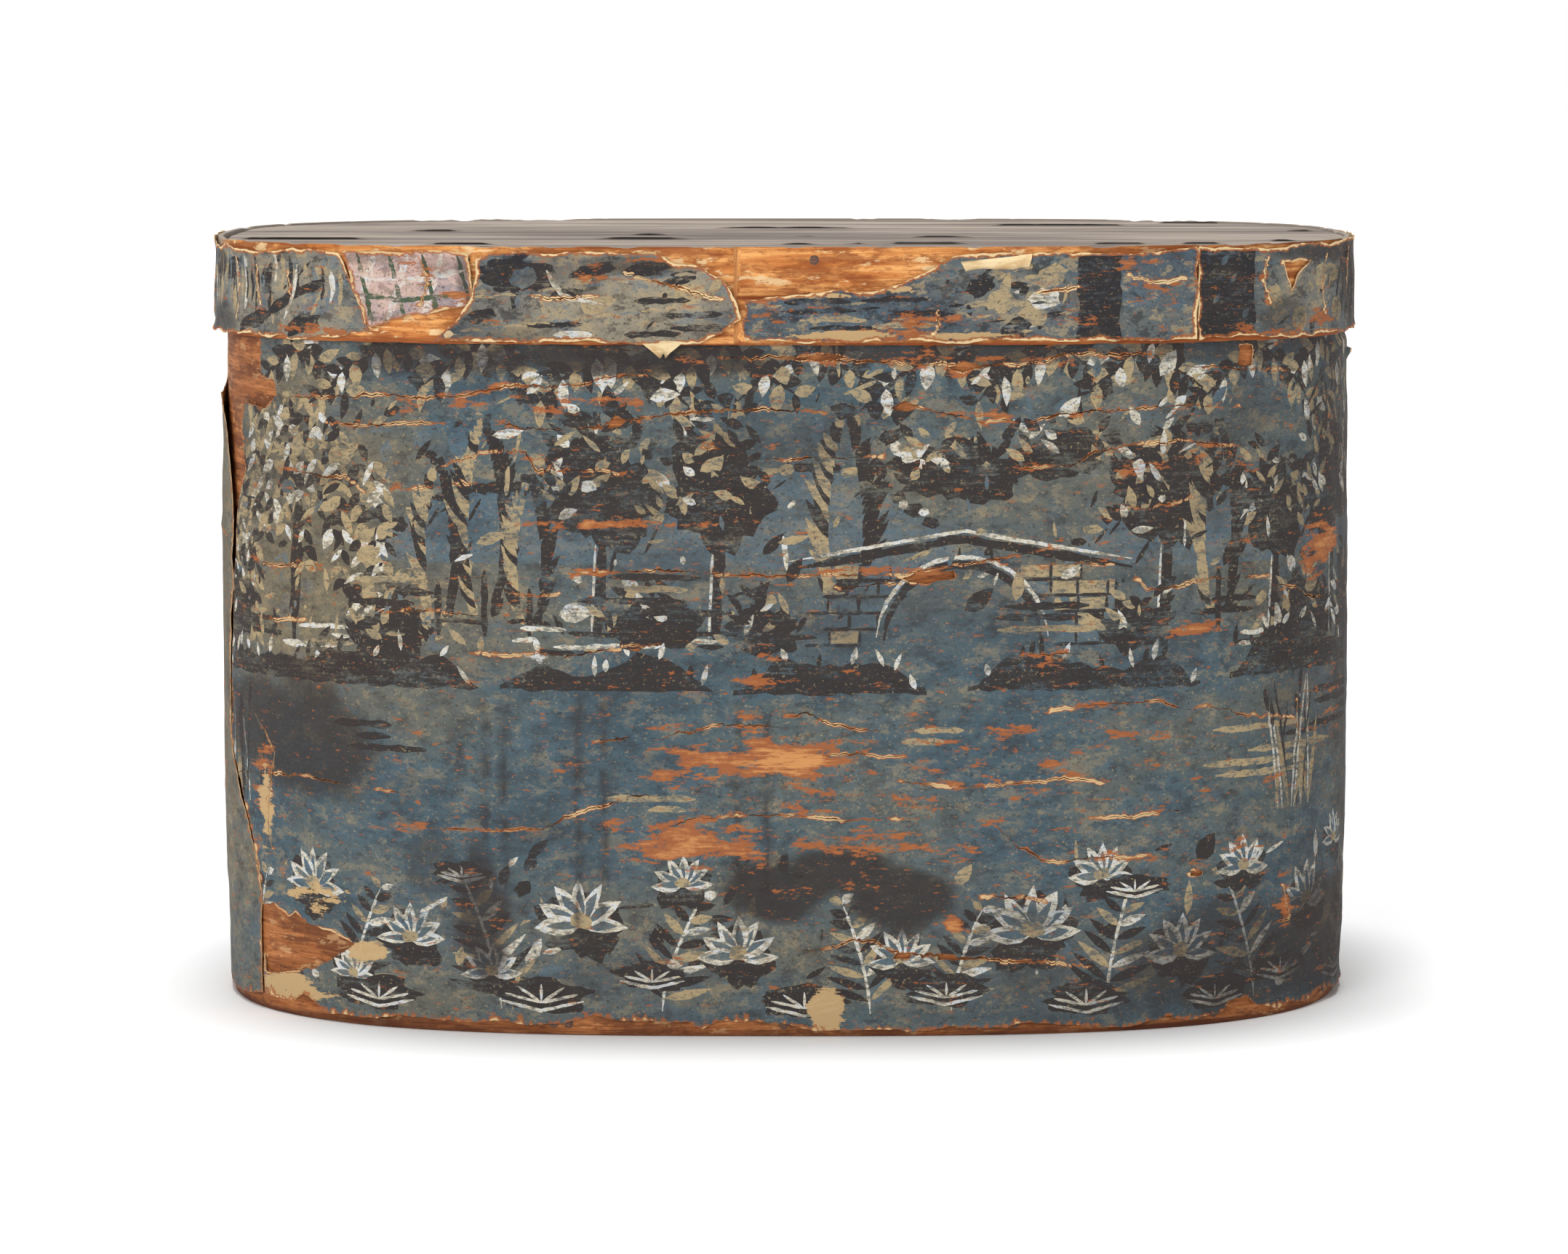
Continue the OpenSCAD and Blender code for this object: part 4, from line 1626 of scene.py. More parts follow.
    def bank(self, left: float, right: float, height: float, tall: float) -> None:
        """A dark tufted bank along the water.

        Args:
            left: Run of its left end.
            right: Run of its right end.
            height: Height of its foot.
            tall: Its height.
        """
        count = max(int((right - left) / 4), 6)
        x = np.linspace(left, right, count)
        swell = Ripple(self.seed + 77 + int(abs(left)), 26, 26, 3).at(x, 0 * x)
        ends = np.clip(np.minimum(x - left, right - x) / 16, 0.12, 1)
        top = height + tall * ends * (0.75 + 0.5 * swell) + self.rng.uniform(-1.2, 1.2, count)
        low = height + self.rng.uniform(-0.7, 0.7, count)
        self.marks.append(Mark(DARK, np.concatenate([np.stack([x, low], -1), np.stack([x, top], -1)[::-1]])))
        for spot, level in zip(x[1:-1], top[1:-1]):
            if self.rng.random() < 0.5:
                ink = PALE if self.rng.random() < 0.45 else DARK
                self.leaf(ink, spot, level - 1, math.pi / 2 + self._around(0, 0.7), self._around(7, 2), 1.2)

    def reeds(self, run: float, height: float, tall: float, count: int) -> None:
        """A clump of cattails.

        Args:
            run: Run of its middle.
            height: Height of its foot.
            tall: Its height.
            count: Number of stalks.
        """
        for _ in range(count):
            x, lean, y = run + self._around(0, 14), self._around(0, 0.22), tall * self._around(0.85, 0.15)
            ink = PALE if self.rng.random() < 0.3 else DARK
            tip = (x + lean * y, height + y)
            self.stroke(ink, [(x, height), (x + lean * y * 0.4, height + y * 0.5), tip], 1.3)
            if self.rng.random() < 0.55:
                self.dab(DARK, *tip, 1.4, 5.0, -lean)
            else:
                self.leaf(TAN, x, height, math.pi / 2 - lean + self._around(0, 0.4), y * 0.7, 1.5)

    def ripples(self, run: float, height: float, wide: float, count: int) -> None:
        """Short level strokes on the water.

        Args:
            run: Run of their middle.
            height: Height of the lowest.
            wide: Width that they spread over.
            count: Number of strokes.
        """
        for number in range(count):
            half = wide * self._around(0.34, 0.16)
            x, y = run + self._around(0, wide * 0.3), height + number * 4.6
            ink = TAN if self.rng.random() < 0.3 else DARK
            self.stroke(ink, [(x - half, y), (x, y + self._around(0.3, 0.3)), (x + half, y)], 2.7, 0.3)

    def blossom(self, run: float, height: float, size: float) -> None:
        """An open water flower of pale outlined petals round a dark heart.

        Args:
            run: Run of its heart.
            height: Height of its heart.
            size: Half its width, about.
        """
        self.dab(DARK, run, height, size * 1.05, size * 0.9)
        for heading in np.linspace(0, math.pi, 7):
            heading += self._around(0, 0.08)
            self.leaf(PALE, run, height, heading, size * 1.25, size * 0.24)
            self.leaf(BLUE, run, height + 0.4, heading, size * 0.95, size * 0.13)
        self.dab(TAN, run, height + size * 0.12, size * 0.3, size * 0.22)

    def pad(self, run: float, height: float, wide: float) -> None:
        """A floating leaf with pale veins.

        Args:
            run: Run of its middle.
            height: Height of its middle.
            wide: Half its width.
        """
        self.dab(DARK, run, height, wide, wide * 0.34)
        for heading in np.linspace(0.25, math.pi - 0.25, 5):
            end = (run + wide * 0.75 * math.cos(heading), height - 1 + wide * 0.26 * math.sin(heading))
            self.stroke(PALE, [(run, height - wide * 0.16), end], 1.1)
        brim, fold = height - wide * 0.12, height - wide * 0.32
        self.stroke(PALE, [(run - wide * 0.85, brim), (run, fold), (run + wide * 0.85, brim)], 1.3)

    def fern(self, run: float, height: float, tall: float, lean: float) -> None:
        """A frond with paired leaflets.

        Args:
            run: Run of its foot.
            height: Height of its foot.
            tall: Its height.
            lean: How far it leans, as a share of its height.
        """
        spots = [(run + lean * tall * s**1.6, height + tall * s) for s in np.linspace(0, 1, 10)]
        self.stroke(PALE, spots, 1.3)
        inks = {-1: (TAN, DARK, PALE), 1: (DARK, DARK, TAN)}
        for number, (x, y) in enumerate(spots[1:]):
            long = (1.15 - number / 9) * tall * 0.34 + 2
            for turn in (-1, 1):
                heading = math.pi / 2 - lean * 0.9 + turn * 1.05
                self.leaf(inks[turn][number % 3], x, y, heading, long, 1.7)


# Worn sheets


@dataclass(frozen=True)
class Split:
    """A crack across a sheet that gapes a little, along a line in run and height."""

    line: tuple[Spot, ...]
    gape: float = 0.7
    lip: float = 0.45


@dataclass(frozen=True)
class Patch:
    """A soft oval place on a sheet, for a stain, a scuff or a swelling."""

    run: float
    height: float
    wide: float
    tall: float
    strength: float = 1.0

    def at(self, run: Array, height: Array, ragged: Array, soft: float = 0.45) -> Array:
        """Strength of the patch at places, its edge made uneven by a ragged value."""
        reach = np.hypot((run - self.run) / self.wide, (height - self.height) / self.tall) + 0.35 * ragged
        return self.strength * np.clip((1 - reach) / soft + 0.5, 0, 1)


def patches(*rows: tuple[float, ...]) -> tuple[Patch, ...]:
    """Patches of rows that give the fields of each."""
    return tuple(Patch(*row) for row in rows)


@dataclass(frozen=True)
class Drip:
    """A dark run of water down a sheet."""

    run: float
    top: float
    low: float
    bend: float = 0.0

    def at(self, run: Array, height: Array) -> Array:
        """Strength of the drip at places.

        Args:
            run: Runs of the places.
            height: Their heights.

        Returns:
            The strength from 0 to 1.
        """
        share = ease(height, self.top, self.low)
        middle = self.run + self.bend * np.sin(share * math.pi) + 0.5 * np.sin(height / 9)
        ends = ease(height, self.top, self.top - 6) * ease(height, self.low, self.low + 14)
        return ends * np.exp(-(((run - middle) / 1.25) ** 2))


@dataclass
class Wear:
    """What age has done to a sheet; some of its stains are painted shade."""

    splits: tuple[Split, ...] = ()
    holes: tuple[tuple[Spot, ...], ...] = ()
    scuffs: tuple[Patch, ...] = ()
    rubbed: tuple[Patch, ...] = ()
    stains_and_shade: tuple[Patch, ...] = ()
    drips: tuple[Drip, ...] = ()
    bared: tuple[Patch, ...] = ()
    aged: tuple[Patch, ...] = ()
    swells: tuple[Patch, ...] = ()


@dataclass
class PaperSheet:
    """A printed sheet glued round the oval, torn along its outline.

    The outline runs counter-clockwise in run and height, in millimetres. The base is the offset of the wood
    below, and the sheet keeps within roof_room of it above the height of the roof.
    """

    name: str
    body: Body
    slot: str
    nodes: tuple[str, ...]
    outline: tuple[Spot, ...]
    base: float
    seed: int
    marks: list[Mark] = field(default_factory=list)
    wear: Wear = field(default_factory=Wear)
    thick: float = 0.38
    grid: float = 2.4
    back_grid: Spot = (2.2, 6.0)
    back_room: Spot = (1.1, 5.0)
    back_reach: float = 9.0
    torn: float = 0.7
    curl: float = 0.8
    sway: float = 0.35
    roof: float = FAR
    roof_room: float = 0.8
    wrinkled: bool = False
    wrinkle_run: float = 222.0
    wrinkle_rise: float = 40.0
    fray: float = 0.7
    slit_lip: float = 0.5

    def _ragged(self, line: Array, ripple: Ripple, apart: float) -> Array:
        """Uneven shifts along and across for the points of a line."""
        return np.stack([ripple.at(*line.T), ripple.at(line[:, 0] + apart, line[:, 1])], axis=-1)

    @cached_property
    def _torn_outline(self) -> Array:
        """The outline at close steps, made ragged."""
        line = spaced(np.array(self.outline), 1.3, True)
        return counter(line + self.torn * 1.6 * self._ragged(line, Ripple(self.seed, 7.0, 7.0, 4), 300))

    @cached_property
    def _slits(self) -> list[Array]:
        """Draws the cracks and holes.

        Returns:
            Their closed lines.
        """
        lines = []
        for number, split in enumerate(self.wear.splits):
            middle = spaced(np.array(split.line), 1.1, False)
            rng = np.random.default_rng(self.seed + 100 + number)
            middle = middle + rng.normal(0, 0.22, middle.shape)
            middle[:, 1] += 1.2 * Ripple(self.seed + 40 + number, 6.0, 6.0, 4).at(*middle.T)
            share = np.clip(np.linspace(0, 1, len(middle)), 0.004, 0.996)
            uneven = 0.75 + 1.3 * Ripple(self.seed + 70 + number, 8.0, 8.0, 3).at(*middle.T)
            half = 0.42 * split.gape * np.clip(uneven, 0.16, 2.1) * np.sqrt(np.sin(math.pi * share))
            side = leftward(middle)
            above = side * (half * rng.uniform(0.25, 1.3, len(middle)))[:, None]
            below = side * (half * rng.uniform(0.25, 1.3, len(middle)))[:, None]
            lines.append(counter(np.concatenate([middle - below, (middle + above)[::-1]])))
        for hole in self.wear.holes:
            line = spaced(np.array(hole), 1.2, True)
            lines.append(counter(line + self._ragged(line, Ripple(self.seed + 5, 5.0, 5.0, 3), 90)))
        return lines

    def _inside_points(self, taken: Array, step: float, room: float) -> Array:
        """Uneven points over the sheet that keep clear of those taken.

        Args:
            taken: Flat points that are there.
            step: Usual distance of the new points.
            room: Size of the cells that they keep clear of.

        Returns:
            The new flat points.
        """
        low, high = taken.min(axis=0), taken.max(axis=0)
        x, y = np.meshgrid(np.arange(low[0], high[0], step), np.arange(low[1], high[1], step), indexing="ij")
        rng = np.random.default_rng(self.seed + 9)
        points = np.stack([x.ravel(), y.ravel()], axis=-1) + rng.uniform(-0.35, 0.35, (x.size, 2)) * step
        size = np.ceil((high - low) / room).astype(int) + 5
        full = np.zeros(size, bool)
        cells = np.floor((taken - low) / room).astype(int) + 2
        for i in (-1, 0, 1):
            for j in (-1, 0, 1):
                full[cells[:, 0] + i, cells[:, 1] + j] = True
        cells = np.clip(np.floor((points - low) / room).astype(int) + 2, 0, size - 1)
        return points[~full[cells[:, 0], cells[:, 1]]]

    def _front(self) -> tuple[Array, Array]:
        """Cuts the flat sheet along its inked shapes.

        Returns:
            Its flat points and its triangles.
        """
        loops = [self._torn_outline, *self._slits]
        lines = [mark.line for mark in self.marks]
        points = np.concatenate(loops + lines)
        edges, faces, first = [], [], 0
        for number, loop in enumerate(loops + lines):
            ring = list(range(first, first + len(loop)))
            if number < len(loops):
                faces.append(ring)
            else:
                edges += list(zip(ring, ring[1:] + ring[:1]))
            first += len(loop)
        beside = [loop + (0, side) for loop in self._slits for side in (-1.6, 1.6)]
        points = np.concatenate([points, *beside])
        points = np.concatenate([points, self._inside_points(points, self.grid, self.grid * 0.42)])
        found = delaunay_2d_cdt([Vector(p) for p in points], edges, faces, 0, 1e-4, True)
        spots, corners, owners = np.array(found[0]), found[2], found[5]
        on_sheet = [corner for corner, owner in zip(corners, owners) if list(owner) == [0]]
        on_sheet = [corner for corner in on_sheet if len(corner) == 3]
        used, triangles = np.unique(np.array(on_sheet), return_inverse=True)
        return spots[used], triangles.reshape(-1, 3)

    def _inks(self, middles: Array) -> dict[str, Array]:
        """Which ink each triangle has.

        Args:
            middles: Flat middles of the triangles.

        Returns:
            For each ink, 1 where a triangle has it and 0 elsewhere.
        """
        order = np.argsort(middles[:, 0])
        sorted_run = middles[order, 0]
        found = {ink.value: np.zeros(len(middles)) for ink in Ink}
        for mark in self.marks:
            low, high = mark.line.min(axis=0), mark.line.max(axis=0)
            near = order[np.searchsorted(sorted_run, low[0]):np.searchsorted(sorted_run, high[0])]
            near = near[(middles[near, 1] > low[1]) & (middles[near, 1] < high[1])]
            covered = near[within(middles[near], mark.line, np.roll(mark.line, -1, axis=0))]
            for ink in Ink:
                found[ink.value][covered] = float(ink == mark.ink)
        return found

    def _distances(self, points: Array) -> tuple[Array, Array]:
        """Distance of points from the torn outline and from the cracks and holes."""
        edge = nearest(points, spaced(self._torn_outline, 1.0, True))
        return edge, nearest(points, np.concatenate([[[FAR, FAR]], *self._slits]))

    def _relief(self, points: Array, edge: Array, slit: Array) -> Array:
        """The front face's relief.

        Args:
            points: Flat points.
            edge: Their distances from the outline.
            slit: Their distances from the cracks and holes.

        Returns:
            The offset of the front face from the wood at each.
        """
        run, height = points.T
        lifted = np.clip(Ripple(self.seed + 1, 34, 26, 3).at(run, height) * 1.4 + 0.45, 0, 1.4)
        offset = self.thick + self.sway * (0.5 + 0.5 * Ripple(self.seed + 2, 70, 34, 3).at(run, height))
        offset += 0.16 * (1 + Ripple(self.seed + 3, 22, 5, 3).at(run, height))
        offset += self.curl * lifted * np.exp(-edge / 2.2)
        lip = np.mean([split.lip for split in self.wear.splits]) if self.wear.splits else 0.0
        offset += 1.6 * lip * lifted * np.exp(-((slit / 1.9) ** 2))
        if self.wrinkled:
            far = ease(np.abs(run), self.wrinkle_run, self.wrinkle_run + self.wrinkle_rise)
            offset += far * 0.55 * (1 + Ripple(self.seed + 12, 7, 40, 3).at(run, height))
        ragged = Ripple(self.seed + 4, 30, 30, 3).at(run, height)
        for swell in self.wear.swells:
            offset += swell.at(run, height, ragged, 1.0)
        under = ease(height, self.roof - 2, self.roof)
        return offset * (1 - under) + np.minimum(offset, self.roof_room) * under

    def _wear_values(self, points: Array, edge: Array, slit: Array) -> dict[str, Array]:
        """Surface values of the wear, with painted shade among the stains.

        Args:
            points: Flat points.
            edge: Their distances from the outline.
            slit: Their distances from the cracks and holes.

        Returns:
            The values by their names.
        """
        run, height = points.T
        uneven = np.clip(0.5 + 0.9 * Ripple(self.seed + 8, 14, 14, 3).at(run, height), 0, 1)
        beside = np.exp(-slit / 2.6) * uneven
        lip = np.clip(self.slit_lip + 0.9 * Ripple(self.seed + 7, 9, 9, 3).at(run, height), 0.32, 1)
        fringe = np.maximum(np.exp(-edge / self.fray) * np.maximum(lip, 0.6), np.exp(-slit / 0.45) * lip)
        return {
            "scuff": np.maximum(self._most(self.wear.scuffs, points, 1.5), 0.75 * beside),
            "rubbed": self._most(self.wear.rubbed, points, 1.5),
            "stain": self._most(self.wear.stains_and_shade, points, 0.6),
            "drip": np.max([0 * run] + [drip.at(run, height) for drip in self.wear.drips], axis=0),
            "bared": self._most(self.wear.bared, points, 0.9),
            "aged": self._most(self.wear.aged, points, 0.9),
            "fringe": fringe,
        }

    def _most(self, places: tuple[Patch, ...], points: Array, soft: float) -> Array:
        """The strongest of some patches.

        Args:
            places: The patches.
            points: Flat points.
            soft: Softness of the patches' edges.

        Returns:
            The strength at each point.
        """
        run, height = points.T
        ragged = Ripple(self.seed + 6, 16, 10, 4).at(run, height)
        return np.max([0 * run] + [patch.at(run, height, ragged, soft) for patch in places], axis=0)

    def build(self, plan: OvalPlan, finish: Material, raw: Material) -> Piece:
        """Builds and dresses the sheet.

        Args:
            plan: The plan that it is glued round.
            finish: Material of its printed face.
            raw: Material of its torn thickness and its back.

        Returns:
            The new object.
        """
        points, triangles = self._front()
        sides = np.concatenate([triangles[:, [0, 1]], triangles[:, [1, 2]], triangles[:, [2, 0]]])
        turned = {(b, a) for a, b in sides.tolist()}
        rim = np.array([pair for pair in sides.tolist() if tuple(pair) not in turned])
        edge, slit = self._distances(points)
        offset = self._relief(points, edge, slit)
        piece = PieceMesh(self.name)
        flat = np.column_stack([points, np.full(len(points), self.seed * 7.0)])
        piece.spots(plan.place(*points.T, self.base + offset), flat, **self._wear_values(points, edge, slit))
        spread = (points - points.min(axis=0)) / np.ptp(points, axis=0)
        baked = spread * (0.996, 0.9) + (0.002, 0.002)
        piece.faces(triangles, baked[triangles], 0, **self._inks(points[triangles].mean(axis=1)))
        self._close(piece, plan, points, rim, offset)
        return piece.build(self.body, self.slot, [finish, raw], self.nodes, sharp=70)

    def _close(self, piece: PieceMesh, plan: OvalPlan, points: Array, rim: Array, offset: Array) -> None:
        """Adds the torn thickness and the glued back.

        Args:
            piece: The mesh that takes the faces.
            plan: The plan that the sheet is glued round.
            points: Flat points of the front face.
            rim: Point numbers of the edges that bound it.
            offset: Offset of each point from the wood.
        """
        ends, starts, stops = np.unique(rim), points[rim[:, 0]], points[rim[:, 1]]
        rank = np.zeros(len(points), int)
        rank[ends] = np.arange(len(ends))
        sizes = zip(self.back_grid, self.back_room)
        close, wide = (self._inside_points(points[ends], step, room) for step, room in sizes)
        close = close[nearest(close, points[ends]) < self.back_reach]
        inner = np.concatenate([close, wide])
        inner = inner[within(inner, starts, stops)]
        spots = np.concatenate([points[ends], inner])
        offset = np.concatenate([offset[ends], self._relief(inner, *self._distances(inner))])
        depth = np.maximum(offset - self.thick - 0.05, 0.02)
        flat = np.column_stack([spots, np.full(len(spots), self.seed * 7.0 + 3)])
        first = piece.spots(plan.place(*spots.T, self.base + depth), flat)
        found = delaunay_2d_cdt([Vector(p) for p in spots], rank[rim].tolist(), [], 0, 1e-6, True)
        origin = [owner[0] if owner else -1 for owner in found[3]]
        corners = np.array([[origin[i] for i in corner] for corner in found[2] if len(corner) == 3])
        corners = corners[(corners >= 0).all(axis=1)]
        corners = corners[within(spots[corners].mean(axis=1), starts, stops)][:, ::-1]
        under = (spots - points.min(axis=0)) / np.ptp(points, axis=0) * (0.996, 0.05) + (0.002, 0.91)
        piece.faces(corners + first, under[corners], 1)
        back = first + rank[rim]
        skirt = np.column_stack([back[:, 0], back[:, 1], rim[:, 1], rim[:, 0]])
        piece.faces(skirt, baked_strip(len(rim), 0.97, 0.998), 1)


# The sheets of this box


FRONT_OUTLINE: tuple[Spot, ...] = (
    (-229, 7), (-207, 6), (-202, 10), (-190, 3.2), (-172, 3.2), (-155, 5), (-140, 5), (-122, 4),
    (-116, 5), (-102, 4), (-88, 5), (-75, 8), (-66, 6), (-38, 6), (-32, 3), (-26, 7),
    (1, 5), (12, 2.4), (58, 2.4), (66, 4), (88, 3), (92, 5), (116, 3), (135, 2), (155, 5),
    (163, 2.2), (180, 5), (182, 9), (192, 10), (198, 6), (211, 2), (218, 5), (230, 2.4),
    (241, 6.5), (262, 4), (300, 4), (339.5, 4), (339.5, 296), (-229, 296), (-228, 272), (-227.5, 257),
    (-218, 256), (-216, 250.5), (-224, 244), (-233, 245), (-242.5, 246.5), (-245, 237), (-243, 219),
    (-248, 210), (-253, 197), (-256, 170), (-262, 140), (-262, 110), (-240, 75), (-231, 50),
)
BACK_OUTLINE: tuple[Spot, ...] = (
    (340.5, 4), (500, 4.5), (700, 4), (900, 4.5), (1070, 4), (1110, 3.5), (1131, 6), (1130, 50), (1121, 75),
    (1099, 110), (1099, 140), (1105, 170), (1107, 197), (1103.5, 212), (1098, 228), (1093, 238),
    (1082, 247),
    (1070, 247), (1052, 252), (1044, 275), (1037, 296), (900, 296), (700, 296), (500, 296), (340.5, 296),
)
FRONT_SPLITS: tuple[Split, ...] = (
    Split(((-215, 249), (-164, 252), (-129, 252), (-111, 256), (-80, 257), (-71, 260), (-51, 261)), 1.0),
    Split(((-187, 241), (-168, 240), (-144, 242), (-132, 242)), 0.6),
    Split(
        ((-111, 242), (-97, 240), (-71, 241), (-66, 244), (-48, 245), (-32, 247), (-1, 248), (16, 246)), 1.1
    ),
    Split(((-135, 225), (-117, 231), (-101, 231), (-97, 224), (-80, 224), (-59, 223)), 0.8),
    Split(((-209, 220), (-187, 219), (-178, 220), (-168, 213)), 0.8),
    Split(((-157, 215), (-138, 217), (-123, 218), (-114, 218)), 0.6),
    Split(
        ((-26, 268), (1, 268), (43, 266), (63, 265), (80, 265), (100, 266), (114, 269), (153, 268)), 1.6, 0.8
    ),
    Split(((-32, 233), (-15, 234)), 0.5),
    Split(((23, 249), (54, 248), (68, 245), (77, 243), (97, 243), (111, 246), (153, 248), (185, 247)), 0.9),
    Split(((-12, 229), (1, 228), (15, 229), (37, 229)), 0.7),
    Split(((91, 224), (114, 226), (122, 231), (144, 234), (160, 234), (189, 231)), 0.8),
    Split(((122, 231), (123, 237)), 0.7),
    Split(((158, 264), (185, 262), (222, 260)), 0.7),
    Split(((126, 208), (144, 208), (165, 211)), 0.6),
    Split(((-84, 183), (-51, 185), (-20, 183), (19, 183), (46, 183), (69, 187), (85, 190), (106, 193)), 1.0),
    Split(((20, 178), (46, 180)), 0.6),
    Split(((-160, 165), (-149, 168), (-132, 167), (-121, 166), (-109, 167)), 0.7),
    Split(((-124, 151), (-80, 151), (-67, 154), (-40, 157), (-33, 156)), 0.7),
    Split(((-236, 182), (-211, 182), (-190, 184)), 0.8),
    Split(((-110, 175), (-88, 175)), 0.5),
    Split(((-230, 159), (-200, 161)), 0.6),
    Split(((101, 187), (130, 186)), 0.6),
    Split(((141, 180), (144, 176), (157, 176), (165, 179), (204, 179)), 0.7),
    Split(((204, 175), (220, 173), (229, 168), (249, 167)), 0.8),
    Split(((94, 151), (119, 151)), 0.5),
    Split(((-74, 117), (-60, 119)), 0.7),
    Split(((-53, 119), (-49, 118), (-39, 121), (-26, 124), (1, 123)), 0.8),
    Split(((1, 127), (9, 128), (18, 124), (29, 122), (39, 122)), 0.7),
    Split(((-148, 81), (-118, 81), (-95, 82), (-86, 87), (-72, 91), (-55, 97), (-37, 94)), 0.9),
    Split(((-52, 81), (-40, 86), (-21, 88), (1, 88), (29, 86), (55, 87)), 0.9),
    Split(((-262, 93), (-228, 97), (-199, 98), (-183, 97), (-158, 95), (-145, 91)), 0.8),
    Split(((-234, 120), (-219, 106), (-222, 95), (-224, 85), (-225, 73), (-222, 67)), 1.6),
    Split(((15, 112), (28, 112), (47, 111)), 0.6),
    Split(((46, 101), (75, 99), (92, 100), (115, 102), (125, 100)), 0.7),
    Split(((106, 129), (124, 131), (151, 131), (162, 127), (172, 129), (188, 124), (219, 120)), 0.7),
    Split(((221, 127), (222, 117), (224, 109)), 1.2),
    Split(((121, 86), (139, 86), (162, 87)), 0.6),
    Split(((83, 84), (92, 75), (100, 71), (109, 68), (118, 70), (145, 70)), 0.8),
    Split(((6, 35), (21, 35), (26, 38), (35, 38), (43, 34), (62, 32), (98, 29), (127, 26)), 1.0),
    Split(((79, 55), (92, 55), (101, 54), (109, 51)), 0.6),
    Split(((212, 53), (217, 39), (206, 37)), 1.0),
)
FRONT_HOLES: tuple[tuple[Spot, ...], ...] = (
    (
        (-236, 42), (-234, 34), (-227, 15), (-209, 18), (-201, 20), (-194, 22), (-187, 25), (-175, 33),
        (-186, 37), (-192, 37), (-200, 39), (-206, 43), (-210, 40), (-219, 43), (-222, 44),
    ),
    ((-70, 240), (-64, 241), (-61, 244), (-66, 246)),
    ((46, 181), (56, 179.5), (67, 182), (66, 185), (52, 184.5)),
    ((41, 248), (48, 247), (53, 249), (47, 252)),
    ((1, 267.5), (14, 267), (25, 268), (13, 270)),
    ((63, 263.5), (70, 262.5), (78, 264), (70, 267)),
    ((164, 60), (170, 60), (170, 62), (164, 62.5)),
    ((43, 31.5), (50, 31), (50, 33.5), (44, 33.5)),
    ((60, 31), (68, 30.5), (68, 32.5), (61, 33)),
    ((184, 263), (192, 263), (192, 271), (185, 271)),
)
FRONT_SCUFFS = patches(
    (2, 110, 30, 9, 0.95), (-26, 108, 32, 9, 0.8), (-40, 77, 26, 10, 0.95), (30, 76, 46, 8, 0.6),
    (-63, 202.5, 52, 2.6, 0.9), (-38, 145, 10, 2.5, 0.8), (-10, 142, 9, 2.5, 0.8),
    (-6, 151, 8, 2.4, 0.8), (166, 159, 24, 2.6, 0.75), (66, 45, 4, 4, 1.1), (52, 116, 30, 5, 0.55),
    (86, 122, 26, 6, 0.5), (70, 100, 40, 5, 0.55), (84, 84, 34, 5, 0.5), (132, 90, 32, 5, 0.5),
    (150, 118, 30, 5, 0.45), (-84, 103, 20, 5, 0.45), (120, 131, 26, 3, 0.5), (240, 188, 15, 13, 0.85),
    (-20, 124, 22, 5, 0.55), (-226, 92, 12, 30, 0.6), (214, 46, 7, 9, 0.8), (-150, 82, 24, 3, 0.5),
    (76, 244, 20, 5, 0.55), (140, 247, 40, 3, 0.5), (-160, 241, 30, 3, 0.5), (40, 184, 30, 4, 0.55),
    (-190, 220, 22, 3, 0.5), (90, 152, 24, 3, 0.45), (-208, 182, 28, 3, 0.5), (200, 100, 34, 8, 0.35),
    (250, 120, 26, 30, 0.4), (-120, 60, 12, 8, 0.4), (60, 267, 90, 3, 0.6), (0, 60, 60, 8, 0.35),
    (180, 70, 40, 10, 0.45), (-100, 250, 60, 5, 0.55), (150, 226, 50, 5, 0.5), (60, 102, 170, 44, 0.36),
)
FRONT_RUBBED = patches((2, 110, 22, 6), (-34, 76, 14, 5, 0.5))
# Painted shade among these stains: the row at heights 267 to 270 darkens the paper just under the lid's rim,
# where its shade falls, together with dark staining there; the tall ones at runs 230 to 305 darken the right
# end, which turns away from the light, together with dark staining.
FRONT_STAINS_AND_SHADE = patches(
    (-205, 112, 42, 28, 0.85), (-228, 118, 44, 22, 0.8), (-120, 50, 12, 30, 0.9), (-140, 66, 14, 18, 0.6),
    (-2, 58, 22, 13, 0.95), (46, 55, 22, 14, 0.95), (20, 66, 26, 9, 0.9), (190, 26, 66, 26, 0.75),
    (250, 30, 60, 30, 0.9), (150, 20, 30, 16, 0.6), (305, 140, 60, 160, 0.75), (255, 235, 30, 50, 0.65),
    (230, 150, 34, 100, 0.5), (-140, 267, 40, 9, 0.8), (-60, 268, 70, 8, 0.95), (60, 270, 70, 6, 0.8),
    (190, 270, 70, 6, 0.7),
)
FRONT_DRIPS: tuple[Drip, ...] = (
    Drip(-133, 133, 81), Drip(-121, 138, 64, 4), Drip(-110, 138, 29), Drip(-81, 138, 27),
    Drip(-72, 138, 27, 1.5), Drip(-18, 134, 28), Drip(-7, 134, 28), Drip(-128, 128, 96), Drip(-97, 120, 100),
)
FRONT_BARED = patches(
    (-168, 30, 10, 4), (-210, 10, 26, 8, 0.9), (17, 10, 7, 9), (-226, 84, 7, 20, 0.8),
    (-194, 50, 22, 9, 0.55),
)
FRONT_AGED = patches(
    (-205, 195, 60, 70, 1.0), (-150, 165, 60, 26, 0.7), (150, 210, 90, 50, 0.45), (0, 200, 120, 40, 0.4),
    (-80, 30, 90, 30, 0.35), (80, 30, 60, 26, 0.35), (280, 160, 60, 120, 0.3),
)
FRONT_SWELLS = patches(
    (290, 140, 44, 120, 2.6), (240, 215, 26, 40, 0.7), (-256, 130, 16, 60, 1.0), (255, 40, 30, 30, 0.8),
)


@dataclass(frozen=True)
class Group:
    """Motifs of one kind: what draws them, how many of their first measures are runs, and their measures."""

    draw: Callable[..., None]
    runs: int
    rows: tuple[tuple, ...]


